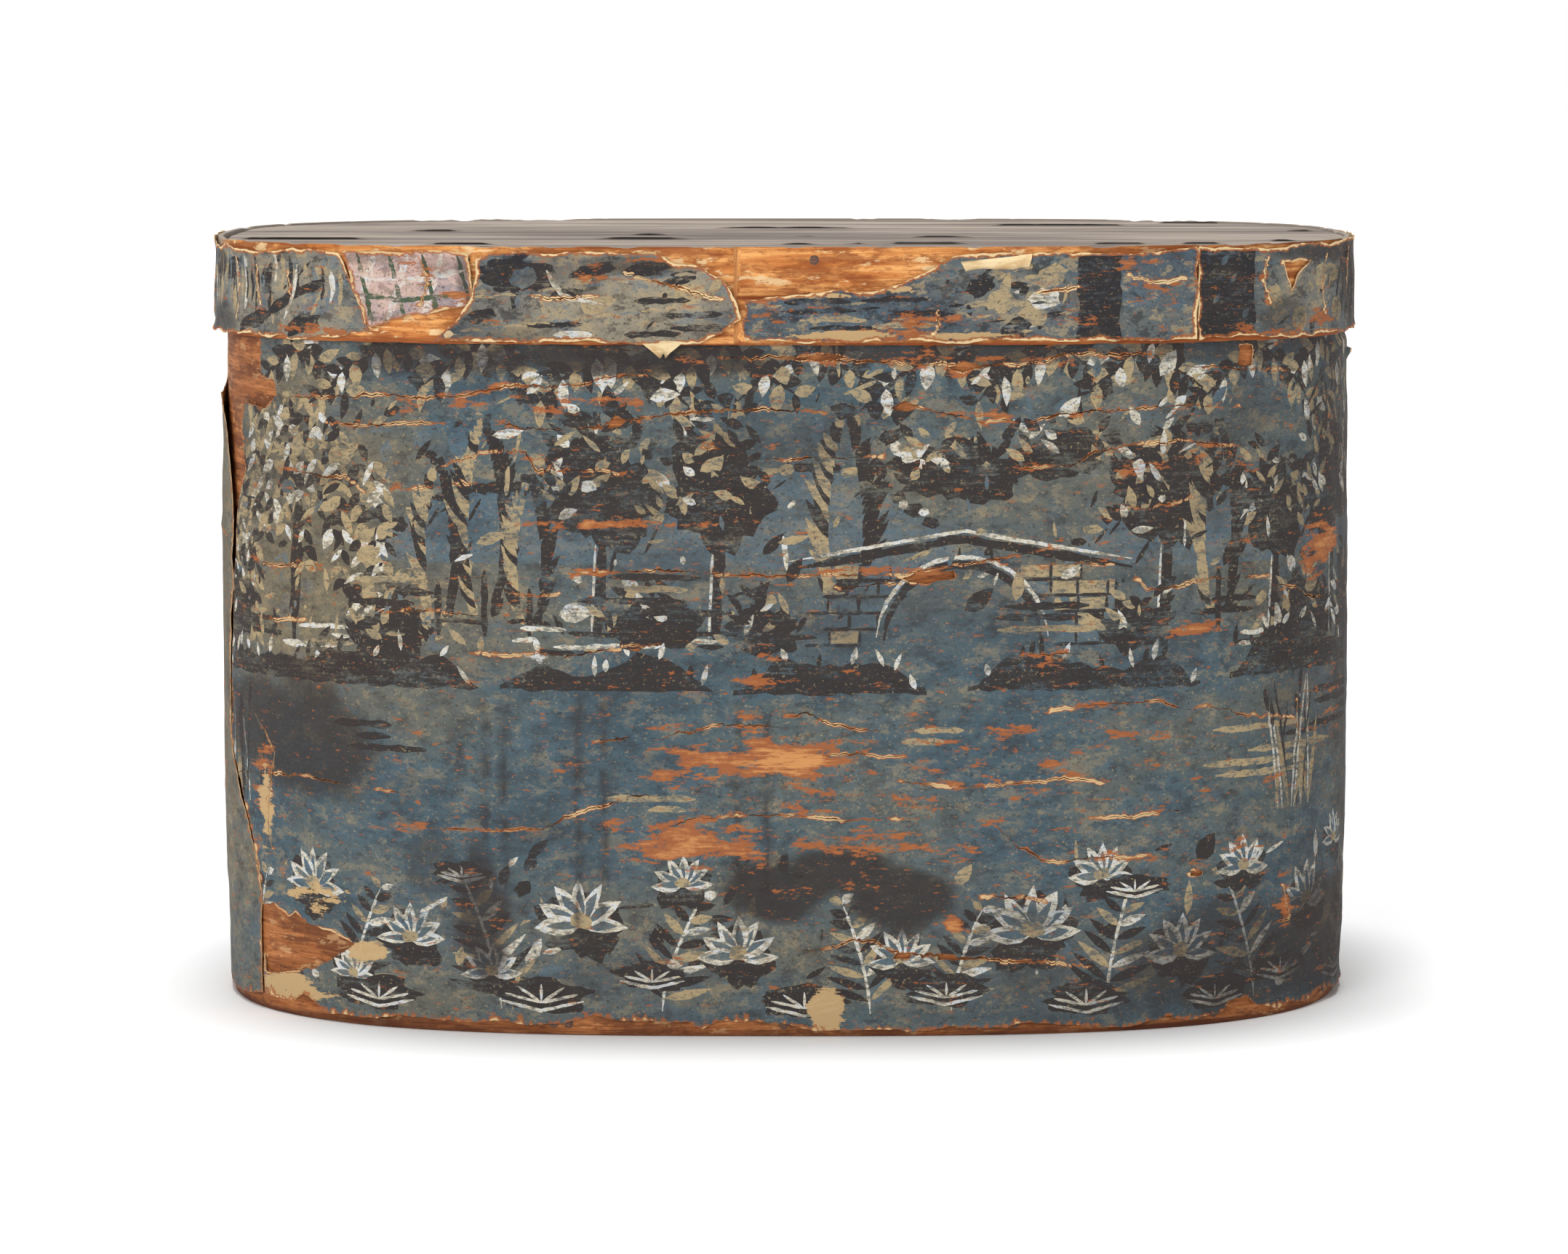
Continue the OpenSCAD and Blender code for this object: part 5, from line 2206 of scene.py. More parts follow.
USUAL_INKS = (DARK, DARK, TAN, PALE, BLUE)
BOUGHS = tuple(
    (run, 277 - (number % 3) * 3, 30 + (number * 7) % 17, (-1, 1)[number % 2])
    for number, run in enumerate(range(-236, 340, 22))
)
LANDSCAPE: tuple[Group, ...] = (
    Group(RiverPrint.bough, 1, BOUGHS),
    Group(RiverPrint.hill, 2, (
        (-165, -45, 192, 26), (-62, 70, 190, 36), (110, 232, 190, 30), (205, 338, 190, 36),
    )),
    Group(RiverPrint.willow, 1, ((-206, 152, 92, 98),)),
    Group(RiverPrint.tree, 1, (
        (-72, 158, 48, 92), (-26, 156, 44, 96), (152, 156, 46, 94), (250, 152, 56, 104), (296, 150, 60, 108),
        (206, 156, 40, 78),
    )),
    Group(RiverPrint.poplar, 1, (
        (-137, 158, 70), (-118, 158, 88), (-100, 158, 64), (176, 158, 84), (24, 158, 92),
    )),
    Group(RiverPrint.bridge, 2, ((8, 132, 156, 40),)),
    Group(RiverPrint.meadow, 2, ((-262, -100, 157, 26), (-100, 10, 157, 20), (130, 338, 157, 34))),
    Group(RiverPrint.shrub, 1, (
        (-52, 154, 38, 26), (-8, 153, 30, 22), (140, 152, 30, 24), (226, 150, 44, 34), (272, 150, 40, 40),
        (316, 150, 50, 50), (-156, 150, 36, 24), (-250, 150, 30, 34), (68, 214, 60, 26), (110, 222, 40, 22),
    )),
    Group(RiverPrint.scatter, 2, (
        (-150, 240, 165, 262, 150, 11.0, USUAL_INKS), (-250, 335, 10, 72, 130, 11.0, USUAL_INKS),
        (-255, -140, 148, 250, 90, 8.0, (TAN, DARK, BLUE)),
    )),
    Group(RiverPrint.bank, 2, (
        (-264, -120, 137, 15), (-112, -28, 137, 14), (-20, 56, 136, 13), (72, 168, 137, 14),
        (182, 338, 139, 18),
    )),
    Group(RiverPrint.ripples, 1, (
        (60, 117, 46, 2), (214, 100, 60, 5), (-165, 112, 40, 3), (268, 116, 50, 4), (-50, 90, 40, 2),
        (-58, 168, 56, 4), (-150, 170, 40, 3), (92, 161, 44, 3), (190, 166, 40, 2),
    )),
    Group(RiverPrint.reeds, 1, ((222, 84, 54, 13), (-242, 84, 44, 9), (318, 80, 56, 12))),
    Group(RiverPrint.fern, 1, (
        (-176, 12, 44, 0.3), (-112, 10, 52, -0.3), (-48, 10, 46, 0.35), (34, 9, 44, -0.25), (66, 10, 40, 0.3),
        (128, 9, 50, 0.2), (196, 9, 52, -0.3), (262, 9, 48, 0.3), (318, 9, 52, -0.2), (-236, 10, 46, 0.2),
    )),
    Group(RiverPrint.blossom, 1, (
        (-196, 54, 13), (-150, 36, 12), (-80, 44, 15), (-18, 32, 13), (98, 40, 16), (160, 30, 13),
        (230, 44, 14), (290, 36, 14), (-116, 24, 10), (-40, 60, 10), (46, 30, 11), (126, 62, 11),
        (190, 62, 11), (-176, 20, 9), (258, 66, 10),
    )),
    Group(RiverPrint.pad, 1, (
        (-164, 14, 18), (-96, 16, 20), (-52, 24, 15), (8, 14, 18), (64, 18, 17), (120, 14, 18), (176, 13, 16),
        (212, 20, 17), (262, 15, 20), (312, 20, 18), (-128, 64, 12), (140, 58, 14),
    )),
)


@dataclass
class SidePapers:
    """The two printed sheets round the side of the box."""

    plan: OvalPlan
    finish: Material
    raw: Material

    def _landscape(self, seed: int, shift: float) -> list[Mark]:
        """One repeat of the riverside pattern.

        Args:
            seed: Seed of its random numbers.
            shift: How far it is moved along the side.

        Returns:
            Its inked shapes.
        """
        draw = RiverPrint(seed)
        for group in LANDSCAPE:
            for row in group.rows:
                runs = [shift + run for run in row[:group.runs]]
                group.draw(draw, *runs, *row[group.runs:])
        return draw.marks

    def build(self) -> list[Piece]:
        """Builds and dresses both sheets.

        Returns:
            The new objects.
        """
        front = PaperSheet(
            "front_wallpaper", Body.BOX, "wallpaper", ("front_paper",), FRONT_OUTLINE, 0.0, 51,
            marks=self._landscape(3, 0.0),
            wear=Wear(
                FRONT_SPLITS, FRONT_HOLES, FRONT_SCUFFS, FRONT_RUBBED, FRONT_STAINS_AND_SHADE, FRONT_DRIPS, FRONT_BARED,
                FRONT_AGED, FRONT_SWELLS,
            ),
            grid=3.4, roof=271.0, wrinkled=True,
        )
        back = PaperSheet(
            "back_wallpaper", Body.BOX, "wallpaper", ("back_paper",), BACK_OUTLINE, 0.0, 61,
            marks=self._landscape(4, 612.0),
            wear=Wear(
                splits=(
                    Split(((380, 220), (430, 224), (470, 221)), 0.9),
                    Split(((520, 150), (580, 152), (640, 149)), 0.9),
                    Split(((700, 232), (760, 236), (820, 233)), 0.9),
                    Split(((860, 90), (930, 94), (980, 90)), 0.9),
                    Split(((450, 60), (520, 64), (560, 61)), 0.8),
                    Split(((1010, 190), (1060, 194), (1096, 190)), 0.9),
                ),
                scuffs=patches(
                    (600, 110, 60, 12, 0.7), (760, 70, 50, 10, 0.6), (480, 180, 40, 8, 0.5),
                    (930, 150, 60, 10, 0.5), (1060, 110, 30, 40, 0.5),
                ),
                stains_and_shade=patches(
                    (360, 140, 46, 160, 0.7),
                    (420, 40, 60, 30, 0.8), (690, 60, 50, 30, 0.7), (900, 30, 70, 26, 0.8),
                    (360, 150, 26, 120, 0.5), (1070, 160, 40, 90, 0.45),
                ),
                drips=(Drip(560, 140, 40), Drip(574, 138, 60), Drip(820, 140, 30), Drip(838, 139, 52)),
                aged=patches((1080, 150, 60, 140, 1.0), (420, 200, 80, 60, 0.6), (700, 200, 120, 40, 0.4)),
                swells=patches((1086, 140, 34, 110, 2.4), (372, 140, 30, 110, 1.6)),
            ),
            grid=3.2,
            roof=271.0,
        )
        return [front.build(self.plan, self.finish, self.raw), back.build(self.plan, self.finish, self.raw)]


@dataclass
class LidPapers:
    """The odd sheets that cover the lid's rim."""

    plan: OvalPlan
    finish: Material
    scrap_finish: Material
    raw: Material
    face: float = 3.5

    def _sheet(
        self, part: str, outline: tuple[Spot, ...], draw: RiverPrint, wear: Wear, slot: str = "rim_paper"
    ) -> PaperSheet:
        """One sheet on the rim.

        Args:
            part: Which part of the rim it covers.
            outline: Its torn outline.
            draw: Its print, whose seed is the sheet's own.
            wear: Its wear.
            slot: Name of a material slot.

        Returns:
            The sheet.
        """
        return PaperSheet(
            f"lid_{part}_wallpaper", Body.LID, slot, (f"lid_{part}_paper",), outline, self.face, draw.seed,
            marks=draw.marks, wear=wear, grid=1.6, torn=0.8, curl=1.7, sway=0.6, fray=1.3, slit_lip=0.8,
        )

    def _left(self) -> PaperSheet:
        """Lays out the grey-green sheet of leaves at the left.

        Returns:
            The sheet, not yet built.
        """
        draw = RiverPrint(71)
        for run in range(-332, -222, 9):
            low = 280 + (run * 13) % 9
            ink = (DARK, TAN, BLUE, DARK, PALE)[(run // 9) % 5]
            draw.stroke(ink, [(run, low + 22), (run + 2, low + 11), (run - 1, low)], 2.6, 0.6)
        for blot in ((-246, 300, 9, 4), (-226, 280, 12, 3.4), (-300, 290, 10, 5), (-196, 279, 11, 3.2)):
            draw.dab(DARK, *blot, 0.3)
        draw.scatter(-338, -172, 277, 305, 46, 13.0, (DARK, TAN, BLUE))
        for number in range(34):
            run, low = -316 + number * 4.2, 284 + (number * 11) % 12
            ink = (DARK, TAN, BLUE, DARK, PALE, TAN, DARK)[number % 7]
            width = (2.4, 1.3, 1.9)[number % 3]
            draw.stroke(ink, [(run, low), (run + 1.2, low + 6), (run + 0.4, low + 13)], width, 0.6)
        draw.stroke(DARK, [(-216, 283), (-202, 290), (-184, 297)], 4.6, 0.4)
        draw.stroke(PALE, [(-206, 281), (-200, 292), (-198, 303)], 1.6, 0.5)
        outline = (
            (-339.5, 274), (-300, 274.4), (-262, 273.8), (-236, 274.2), (-200, 273.7), (-180, 274.8),
            (-170, 276.6),
            (-164, 278), (-168, 288), (-172, 298), (-175.5, 308.4), (-200, 308.8), (-228, 307.6),
            (-246, 309),
            (-268, 308.2), (-284, 309.2), (-292, 311.3), (-339.5, 311.5),
        )
        wear = Wear(
            splits=(
                Split(((-240, 304), (-238, 290), (-241, 280)), 0.7),
                Split(((-222, 302), (-223, 292), (-221, 286)), 0.6),
                Split(((-276, 306), (-273, 295), (-277, 281)), 0.8, 1.0),
                Split(((-203, 300), (-202, 290)), 0.5),
            ),
            scuffs=patches((-200, 276, 30, 3, 0.6), (-290, 280, 30, 4, 0.4)),
            aged=patches((-216, 290, 52, 40, 0.75), (-300, 290, 40, 40, 0.4)),
            stains_and_shade=patches((-330, 290, 40, 24, 0.6), (-258, 279, 16, 8, 0.7), (-262, 303, 10, 6, 0.7)),
            swells=patches((-268, 285, 18, 14, 1.0)),
        )
        return self._sheet("left", outline, draw, wear)

    def _scrap(self) -> PaperSheet:
        """Lays out the scrap of an older paper with crossed bands.

        Returns:
            The sheet, not yet built.
        """
        draw = RiverPrint(72)
        draw.dab(BLUE, -132, 292, 7, 9, 0.5)
        draw.dab(BLUE, -150, 287, 6, 4, 0.7)
        for run in (-170, -156, -142, -128):
            draw.stroke(PALE, [(run, 280), (run + 9, 308)], 2.6, 0.5)
            draw.stroke(DARK, [(run + 8, 280), (run + 1, 308)], 1.9, 0.5)
        draw.stroke(PALE, [(-172, 300), (-150, 297), (-122, 302)], 2.2, 0.5)
        draw.stroke(DARK, [(-170, 292), (-150, 289.5), (-122, 293)], 1.8, 0.5)
        outline = (
            (-163.5, 279), (-145, 283.5), (-121, 288.5), (-121.5, 308.6), (-136, 309.2), (-150, 308.2),
            (-175, 308.6),
            (-171.5, 298), (-167.5, 288),
        )
        wear = Wear(
            scuffs=patches((-126, 290, 8, 6, 0.6), (-150, 306, 14, 3, 0.5)),
            stains_and_shade=patches((-136, 304, 9, 5, 0.55), (-123, 300, 5, 12, 0.7), (-160, 306, 16, 3, 0.6)),
            splits=(Split(((-142, 306), (-139, 297), (-142, 287)), 0.6),),
        )
        return self._sheet("scrap", outline, draw, wear, "scrap_paper")

    def _middle(self) -> PaperSheet:
        """Lays out the curled sheet left of the lap.

        Returns:
            The sheet, not yet built.
        """
        draw = RiverPrint(73)
        draw.scatter(-130, -24, 277, 305, 20, 11.0, (TAN, DARK, TAN, BLUE))
        draw.dab(DARK, -104, 300, 15, 7)
        draw.dab(BLUE, -101, 299, 5, 4.4)
        for blot in ((-74, 302, 9), (-52, 303, 10), (-84, 293, 6), (-40, 299, 6), (-118, 284, 6)):
            draw.dab(DARK, *blot, 2.8, 0.2)
        for left, level in ((-58, 290), (-46, 284.5), (-44, 279.5), (-100, 280.5), (-62, 277)):
            draw.stroke(DARK, [(left, level), (left + 22, level + 0.6)], 2.3, 0.4)
        draw.stroke(PALE, [(-92, 302), (-86, 292), (-70, 289)], 1.8, 0.5)
        for number in range(22):
            left, level = -126 + number * 4.4, 278 + (number * 13) % 25
            line = [(left, level), (left + 5, level + 0.8), (left + 9, level + 0.2)]
            draw.stroke((TAN, TAN, BLUE)[number % 3], line, 1.1, 0.5)
        draw.dab(TAN, -36, 294, 6, 3)
        draw.dab(PALE, -82, 277, 8, 1.6)
        outline = (
            (-137, 273.9), (-128, 274.4), (-100, 273.8), (-80, 274.6), (-60, 273.6), (-33, 274.2),
            (-24, 278), (-16.8, 283),
            (-19.5, 291), (-24, 299), (-32, 303), (-44, 305.6), (-52, 308.6), (-72, 309), (-98, 308.4),
            (-112, 308.8),
            (-119.5, 306.6), (-119.8, 292), (-126, 283),
        )
        wear = Wear(
            splits=(
                Split(((-62, 302), (-48, 297), (-36, 294), (-24, 291)), 0.9, 1.2),
                Split(((-98, 292), (-92, 291), (-72, 292)), 0.7),
            ),
            scuffs=patches((-90, 275, 30, 2.5, 0.6), (-60, 306, 30, 2.5, 0.6), (-76, 300, 9, 7, 0.5)),
            aged=patches((-60, 286, 56, 26, 1.0)),
            stains_and_shade=patches((-105, 300, 14, 7, 0.6), (-60, 304, 26, 5, 0.7)),
            swells=patches((-26, 290, 14, 14, 1.6)),
        )
        return self._sheet("middle", outline, draw, wear)

    def _right(self) -> PaperSheet:
        """Lays out the torn blue sheet right of the lap.

        Returns:
            The sheet, not yet built.
        """
        draw = RiverPrint(74)
        for left, level, ink in (
            (0, 289.6, DARK), (2, 286, DARK), (6, 282.6, TAN), (30, 290.4, DARK), (10, 279.4, DARK),
            (40, 285, DARK), (70, 288.6, TAN), (34, 280.4, TAN),
        ):
            draw.stroke(ink, [(left, level), (left + 13, level + 0.5), (left + 26, level + 0.2)], 2.1, 0.5)
        draw.scatter(60, 112, 278, 304, 26, 10.0, (DARK, TAN, BLUE, PALE))
        for run, height, ink in (
            (84, 290, TAN), (96, 284, TAN), (104, 300, TAN), (90, 279, DARK), (76, 296, DARK),
            (101, 291, PALE),
        ):
            draw.dab(ink, run, height, 6, 4.2, 0.3)
        for number in range(24):
            left, level = -12 + number * 5.4, 277 + (number * 11) % 13
            draw.stroke((BLUE, TAN, DARK)[number % 3], [(left, level), (left + 6, level + 0.6)], 1.2, 0.5)
        draw.panel(DARK, 114, 131, 274.4, 307.5)
        outline = (
            (-15.5, 275.2), (10, 274.4), (40, 274.8), (70, 274.2), (100, 274.8), (130, 274), (162.6, 274.6),
            (162.9, 291),
            (162.5, 310.4), (150, 309.6), (136, 308.4), (120, 309), (95, 308.4), (65, 307.8), (58, 302.5),
            (46, 296.9), (34, 294.1),
            (20, 294.3), (6, 292.7), (-15.5, 290.7),
        )
        wear = Wear(
            splits=(
                Split(((98, 293), (108, 294), (114, 296)), 0.9, 1.0),
                Split(((58, 277), (60, 282), (59, 287)), 1.0),
                Split(((134, 300), (144, 297), (158, 298)), 0.6),
            ),
            scuffs=patches(
                (40, 276.5, 56, 3, 0.9), (148, 296, 14, 7, 0.8), (150, 283, 12, 5, 0.6),
                (-8, 287, 10, 6, 0.5),
                (60, 282, 20, 5, 0.6), (30, 284, 40, 5, 0.5), (122, 281, 6, 3, 0.6), (140, 305, 14, 4, 0.6),
            ),
            bared=patches(
                (20, 277, 26, 1.8, 1.0), (70, 276.6, 20, 1.8, 1.0), (10, 292.4, 24, 1.4, 0.9),
                (40, 295, 12, 1.4, 0.9),
            ),
            stains_and_shade=patches((122, 290, 11, 22, 0.5)),
            aged=patches((88, 292, 22, 14, 0.3)),
            swells=patches((80, 303, 18, 6, 0.7)),
        )
        return self._sheet("right", outline, draw, wear)

    def _end(self) -> PaperSheet:
        """Lays out the dark, wrinkled sheet at the right end.

        Returns:
            The sheet, not yet built.
        """
        draw = RiverPrint(75)
        draw.panel(DARK, 163, 190, 274.2, 309.6)
        for run, height in ((170, 288), (178, 296), (184, 282), (174, 303)):
            draw.leaf(BLUE, run, height, 0.9, 5, 1.2)
        draw.scatter(194, 336, 277, 306, 44, 11.0, (DARK, TAN, DARK, BLUE))
        for run, height in ((200, 290), (216, 281), (232, 297), (246, 284)):
            draw.dab(TAN, run, height, 4.4, 5.4, 0.4)
        for run in range(252, 336, 9):
            low = 278 + (run * 7) % 8
            draw.stroke(DARK, [(run, low), (run + 2, low + 12), (run - 1, low + 24)], 3.4, 0.6)
        outline = (
            (163.2, 274.4), (188, 274.8), (210, 273.8), (236, 274.6), (260, 274), (300, 274.4),
            (339.5, 274), (339.5, 311.5),
            (300, 311.2), (262, 311.6), (240, 310.2), (220, 310.6), (196, 309.4), (162.9, 310.4),
        )
        wear = Wear(
            splits=(
                Split(((236, 306), (233, 295), (236, 282)), 0.9, 1.0),
                Split(((262, 308), (260, 292), (263, 279)), 0.9, 1.0),
                Split(((196, 306), (194, 296), (197, 288)), 0.6),
            ),
            holes=(((205, 304), (223, 303.4), (214, 298), (210, 291.5), (207.5, 298)),),
            scuffs=patches((230, 280, 14, 8, 0.6), (300, 278, 30, 4, 0.5), (196, 275.6, 24, 2.4, 0.8)),
            stains_and_shade=patches(
                (176, 290, 16, 22, 0.6), (300, 290, 60, 24, 0.8), (250, 308, 60, 5, 0.8),
                (206, 282, 16, 8, 0.6),
            ),
            aged=patches((222, 290, 26, 18, 0.45), (280, 290, 40, 24, 0.4)),
            swells=patches((250, 290, 10, 14, 1.2), (276, 290, 9, 15, 1.5), (296, 288, 10, 15, 1.2)),
        )
        return self._sheet("end", outline, draw, wear)

    def _back(self) -> PaperSheet:
        """Lays out the sheet round the back of the rim.

        Returns:
            The sheet, not yet built.
        """
        draw = RiverPrint(76)
        draw.scatter(344, 1018, 277, 305, 150, 12.0, (DARK, DARK, TAN, BLUE, PALE))
        for number in range(28):
            ink = (DARK, TAN, DARK, BLUE)[number % 4]
            draw.dab(ink, 352 + number * 24, 282 + (number * 7) % 20, 9, 4, 0.4)
        outline = (
            (340.5, 274.2), (500, 274.6), (620, 273.9), (700, 274.4), (860, 274), (1021.5, 274.4),
            (1021.5, 311.3),
            (980, 310.4), (860, 308.8), (780, 309.4), (700, 308.5), (560, 309.2), (430, 308.6),
            (380, 310.6), (340.5, 311.3),
        )
        wear = Wear(
            splits=(
                Split(((520, 300), (523, 288), (519, 279)), 0.9),
                Split(((760, 302), (756, 290), (760, 280)), 0.9),
            ),
            scuffs=patches((600, 279, 50, 4, 0.7), (820, 303, 50, 4, 0.6), (440, 290, 20, 8, 0.5)),
            stains_and_shade=patches((380, 290, 40, 24, 0.7), (700, 295, 40, 12, 0.6), (960, 285, 40, 14, 0.6)),
            aged=patches((900, 290, 120, 40, 0.9), (600, 290, 90, 40, 0.5)),
        )
        return self._sheet("back", outline, draw, wear)

    def build(self) -> list[Piece]:
        """Builds and dresses the sheets.

        Returns:
            The new objects.
        """
        made = [
            sheet.build(self.plan, self.finish, self.raw)
            for sheet in (self._left(), self._middle(), self._right(), self._end(), self._back())
        ]
        return made + [self._scrap().build(self.plan, self.scrap_finish, self.raw)]


@dataclass(frozen=True)
class Flap:
    """A torn tongue of paper that is folded or curled away from its sheet.

    It hangs from a line in run and height, reaches to the right of that line, and narrows to its tip's share.
    """

    name: str
    body: Body
    slot: str
    hinge: tuple[Spot, Spot]
    reach: Spot
    base: float
    bulge: float
    lift: float
    tip: float
    seed: int
    thick: float = 0.35
    along: int = 26
    out: int = 14

    def build(self, plan: OvalPlan, front: Material, behind: Material) -> Piece:
        """Builds and dresses the tongue.

        Args:
            plan: The plan that it hangs round.
            front: Material of its outer face.
            behind: Material of its inner face and its edge.

        Returns:
            The new object.
        """
        (left, foot), (right, head) = self.hinge
        t, s = np.meshgrid(np.linspace(0, 1, self.along), np.linspace(0, 1, self.out), indexing="ij")
        narrow = 0.5 + (t - 0.5) * (1 - (1 - self.tip) * s)
        far = s * (1 + 0.45 * Ripple(self.seed, 0.3, 0.5, 3).at(t, 0 * s))
        run = left + (right - left) * narrow + self.reach[0] * far
        height = foot + (head - foot) * narrow + self.reach[1] * far
        wave = 0.35 * Ripple(self.seed + 1, 0.4, 0.5, 3).at(t, s) * s
        offset = self.base + self.bulge * np.sin(math.pi * s**0.7) + self.lift * s**2 + wave
        piece = PieceMesh(self.name)
        flat = np.stack([run, height, 0 * run + self.seed * 5.0], axis=-1).reshape(-1, 3)
        fringe = np.clip(7.2 * np.maximum(s - 0.75, np.abs(t - 0.5) - 0.42), 0, 1).ravel()
        values = {"fringe": fringe, "shade": ease(s, 0.6, 1.0).ravel() ** 2}
        for sink, layer in ((0.0, 0.0), (self.thick, 9.0)):
            points = plan.place(run, height, offset - sink).reshape(-1, 3)
            piece.spots(points, flat + (0, 0, layer), **values)
        spread = np.stack([t.ravel() * 0.98 + 0.01, s.ravel() * 0.46 + 0.01], axis=-1)
        number = np.arange(t.size).reshape(t.shape)
        piece.plate(number, spread, spread + (0, 0.48), (0.97, 0.999), 1)
        return piece.build(self.body, self.slot, [front, behind], sharp=60)


# The whole box


RIM_WOOD = WoodFinish(
    "rim_wood", (248, 180, 108), (204, 126, 64), (142, 72, 33), (34.0, 2.2), 0.4, 0.3, 0.2,
    glue=(244, 210, 158), glue_share=0.85, grey=(150, 138, 126), blot_share=0.7, contrast=0.09,
    thread_share=0.5,
)
# Painted shade in part: these tones are darker than the rim's wood, being read where the band's bare wood
# shows at the box's left end under the lid and at its foot by the floor.
BAND_WOOD = WoodFinish(
    "band_wood", (192, 124, 74), (150, 88, 46), (84, 44, 26), (34.0, 1.8), 0.5, 0.45, 0.16,
    glue_share=0.4, blot_share=0.6, contrast=0.09, thread_share=0.5,
)
GREY_BOARD = WoodFinish(
    "grey_board", (172, 158, 145), (104, 94, 87), (40, 32, 27), (150.0, 15.0), 0.4, 0.12, 0.25,
    contrast=0.13, thread_share=0.5,
)
PINE_BOARD = WoodFinish(
    "pine_board", (196, 164, 122), (164, 128, 88), (96, 66, 44), (80.0, 1.5), 0.25, 0.3, 0.15
)
PLAIN_LINING = LiningFinish("plain_lining")
RUSTED_IRON = IronFinish("rusted_iron")
SIDE_PRINT = PaperFinish("side_print")
PINK_PRINT = PaperFinish(
    "pink_print", ground=(212, 180, 170), damp=(204, 176, 166), aged=(184, 154, 142), dark=(58, 84, 60),
    pale=(222, 210, 196), blue=(96, 112, 132),
)
RIM_PRINT = PaperFinish(
    "rim_print", ground=(80, 95, 107), damp=(94, 102, 103), aged=(156, 146, 126), dark=(38, 35, 38),
    fringe=(236, 208, 158), fleck_share=0.2, patch_share=0.65,
)
RAW_PAPER = RawPaperFinish("raw_paper")
FOLD_PAPER = RawPaperFinish("fold_paper", (240, 216, 170), (212, 176, 126))
LID_CRACKS: tuple[BoardCrack, ...] = (
    BoardCrack(-222, -170, -78, 2.6, 2.6), BoardCrack(-76, -40, -72, 3.2, 2.6),
    BoardCrack(-64, -48, -28, 2.4, 1.6), BoardCrack(4, 13, -42, 2.4, 1.5),
    BoardCrack(52, 78, -52, 2.0, 1.2), BoardCrack(-160, -136, 18, 2.0, 1.2),
    BoardCrack(120, 146, -131, 3.0, 2.4), BoardCrack(155, 176, -124, 2.6, 2.2),
    BoardCrack(194, 208, -96, 2.4, 2.2), BoardCrack(-30, 30, 60, 2.0, 1.2),
    BoardCrack(90, 150, 96, 2.0, 1.2), BoardCrack(164, 206, 128, 4.0, 2.6),
    BoardCrack(212, 226, 24, 3.4, 2.6), BoardCrack(40, 73, -122, 3.4, 2.8),
    BoardCrack(24, 34, -130, 2.6, 2.2), BoardCrack(-2, 13, -136, 3.2, 2.6),
    BoardCrack(-142, -114, -134, 3.0, 2.6),
)
LID_FRONT_GAPS = ((-142, -114, 1.4), (1, 14, 1.2), (24, 34, 1.2), (40, 73, 1.6), (120, 144, 1.4))
LID_LEFT_GAPS = ((-80, 60, 2.6),)


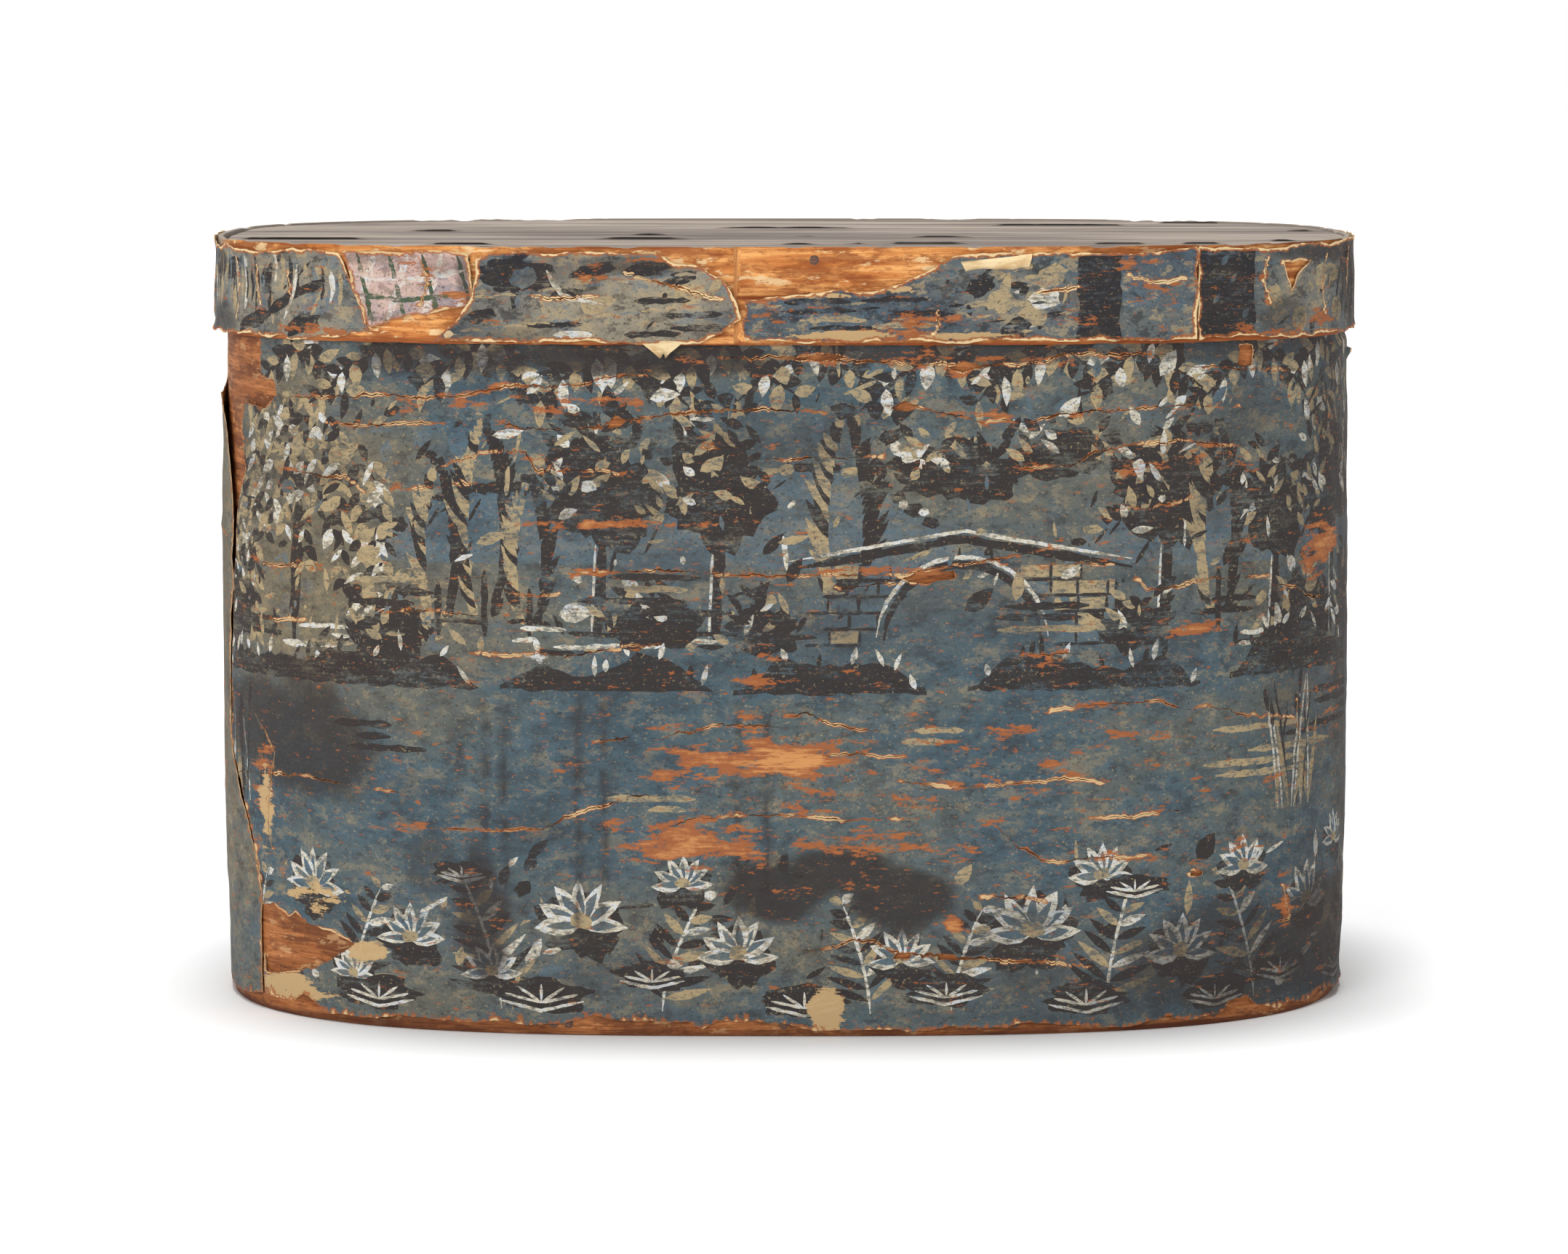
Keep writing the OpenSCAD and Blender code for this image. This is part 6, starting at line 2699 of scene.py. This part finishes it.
@dataclass
class Woodwork:
    """The bands, boards, linings and nails of the box and its lid."""

    plan: OvalPlan

    def _bands(self) -> list[Piece]:
        """Builds the bent strips.

        Returns:
            The new objects.
        """
        box = BentBand("box_band", Body.BOX, "bentwood", "side_band", 0.0, 301.0, -2.4, 0.0, 651.0, 11)
        rim = BentBand(
            "lid_rim", Body.LID, "bentwood", "lid_band", 272.9, 311.4, 1.3, 3.5, -18.0, 21,
            chip=0.9, segments=900, outer_rows=26, inner_rows=10, grey_top=1.0, grey_run=246.0,
            brown_run=78.0,
        )
        return [box.build(self.plan, BAND_WOOD.material()), rim.build(self.plan, RIM_WOOD.material())]

    def _boards(self) -> list[Piece]:
        """Builds the two boards.

        Returns:
            The new objects.
        """
        bottom = OvalBoard("box_bottom", Body.BOX, "board", "bottom_board", 0.0, 9.0, -2.4, 31)
        top = OvalBoard(
            "lid_top", Body.LID, "weathered_board", "lid_board", 301.3, 310.8, 1.3, 41,
            relief=0.35, cracks=LID_CRACKS, front_gaps=LID_FRONT_GAPS, left_gaps=LID_LEFT_GAPS,
        )
        return [bottom.build(self.plan, PINE_BOARD.material()), top.build(self.plan, GREY_BOARD.material())]

    def _linings(self) -> list[Piece]:
        """Builds the plain papers inside.

        Returns:
            The new objects.
        """
        slot, lining = "lining_paper", PLAIN_LINING.material()
        few = {"rows": 120, "columns": 100, "edge_round": 0.1}
        side = BentBand(
            "box_side_lining", Body.BOX, slot, "side_lining", 9.3, 301.0, -2.7, -2.4, 600.0, 81,
            lap_step=0.0, corner=0.1, relief=0.03, chip=0.3, segments=400, outer_rows=20, inner_rows=40,
        )
        bottom = OvalBoard(
            "box_bottom_lining", Body.BOX, slot, "bottom_lining", 9.0, 9.3, -2.4, 82, relief=0.08, **few
        )
        under = OvalBoard(
            "lid_under_lining", Body.LID, slot, "lid_lining", 301.0, 301.3, 1.3, 83, relief=0.03, **few
        )
        return [piece.build(self.plan, lining) for piece in (side, bottom, under)]

    def _nails(self) -> list[Piece]:
        """Builds the nails and tacks.

        Returns:
            The new objects.
        """
        iron = RUSTED_IRON.material()
        sets = (
            NailSet("lid_rim_nails", Body.LID, "lid_nails", 3.62),
            NailSet("box_bottom_nails", Body.BOX, "bottom_nails", 0.12),
            NailSet("box_lap_tacks", Body.BOX, "band_tacks", 0.2, head=3.0, long=2.5, point=0.8),
        )
        return [nails.build(self.plan, iron) for nails in sets]

    def build(self) -> list[Piece]:
        """Builds and dresses all of it."""
        return self._bands() + self._boards() + self._linings() + self._nails()


@dataclass
class Papers:
    """The printed papers outside, with their loose flaps."""

    plan: OvalPlan

    def build(self) -> list[Piece]:
        """Builds and dresses all of them.

        Returns:
            The new objects.
        """
        side, rim, pink = SIDE_PRINT.material(), RIM_PRINT.material(), PINK_PRINT.material()
        raw, fold = RAW_PAPER.material(), FOLD_PAPER.material()
        folded = Flap(
            "lid_folded_flap", Body.LID, "rim_paper", ((68, 305.8), (96, 308.4)), (0.6, -5.6),
            base=4.3, bulge=1.9, lift=0.5, tip=0.86, seed=91,
        )
        hanging = Flap(
            "lid_hanging_flap", Body.LID, "rim_paper", ((-57, 275.2), (-38, 275.0)), (0.5, -6.6),
            base=4.1, bulge=0.5, lift=1.2, tip=0.15, seed=92,
        )
        flake = Flap(
            "box_side_flake", Body.BOX, "wallpaper", ((292, 260), (292, 266)), (2.6, 1.0),
            base=2.4, bulge=0.4, lift=2.2, tip=0.3, seed=93,
        )
        made = SidePapers(self.plan, side, raw).build() + LidPapers(self.plan, rim, pink, raw).build()
        made += [flap.build(self.plan, fold, rim) for flap in (folded, hanging)]
        return made + [flake.build(self.plan, side, raw)]


def main() -> None:
    """Builds each sub-assembly in order and reports its pieces."""
    plan = OvalPlan()
    Studio().build()
    for piece in Woodwork(plan).build() + Papers(plan).build():
        log.info("%s: %d faces", piece.name, len(piece.data.polygons))


if __name__ == "__main__":
    main()
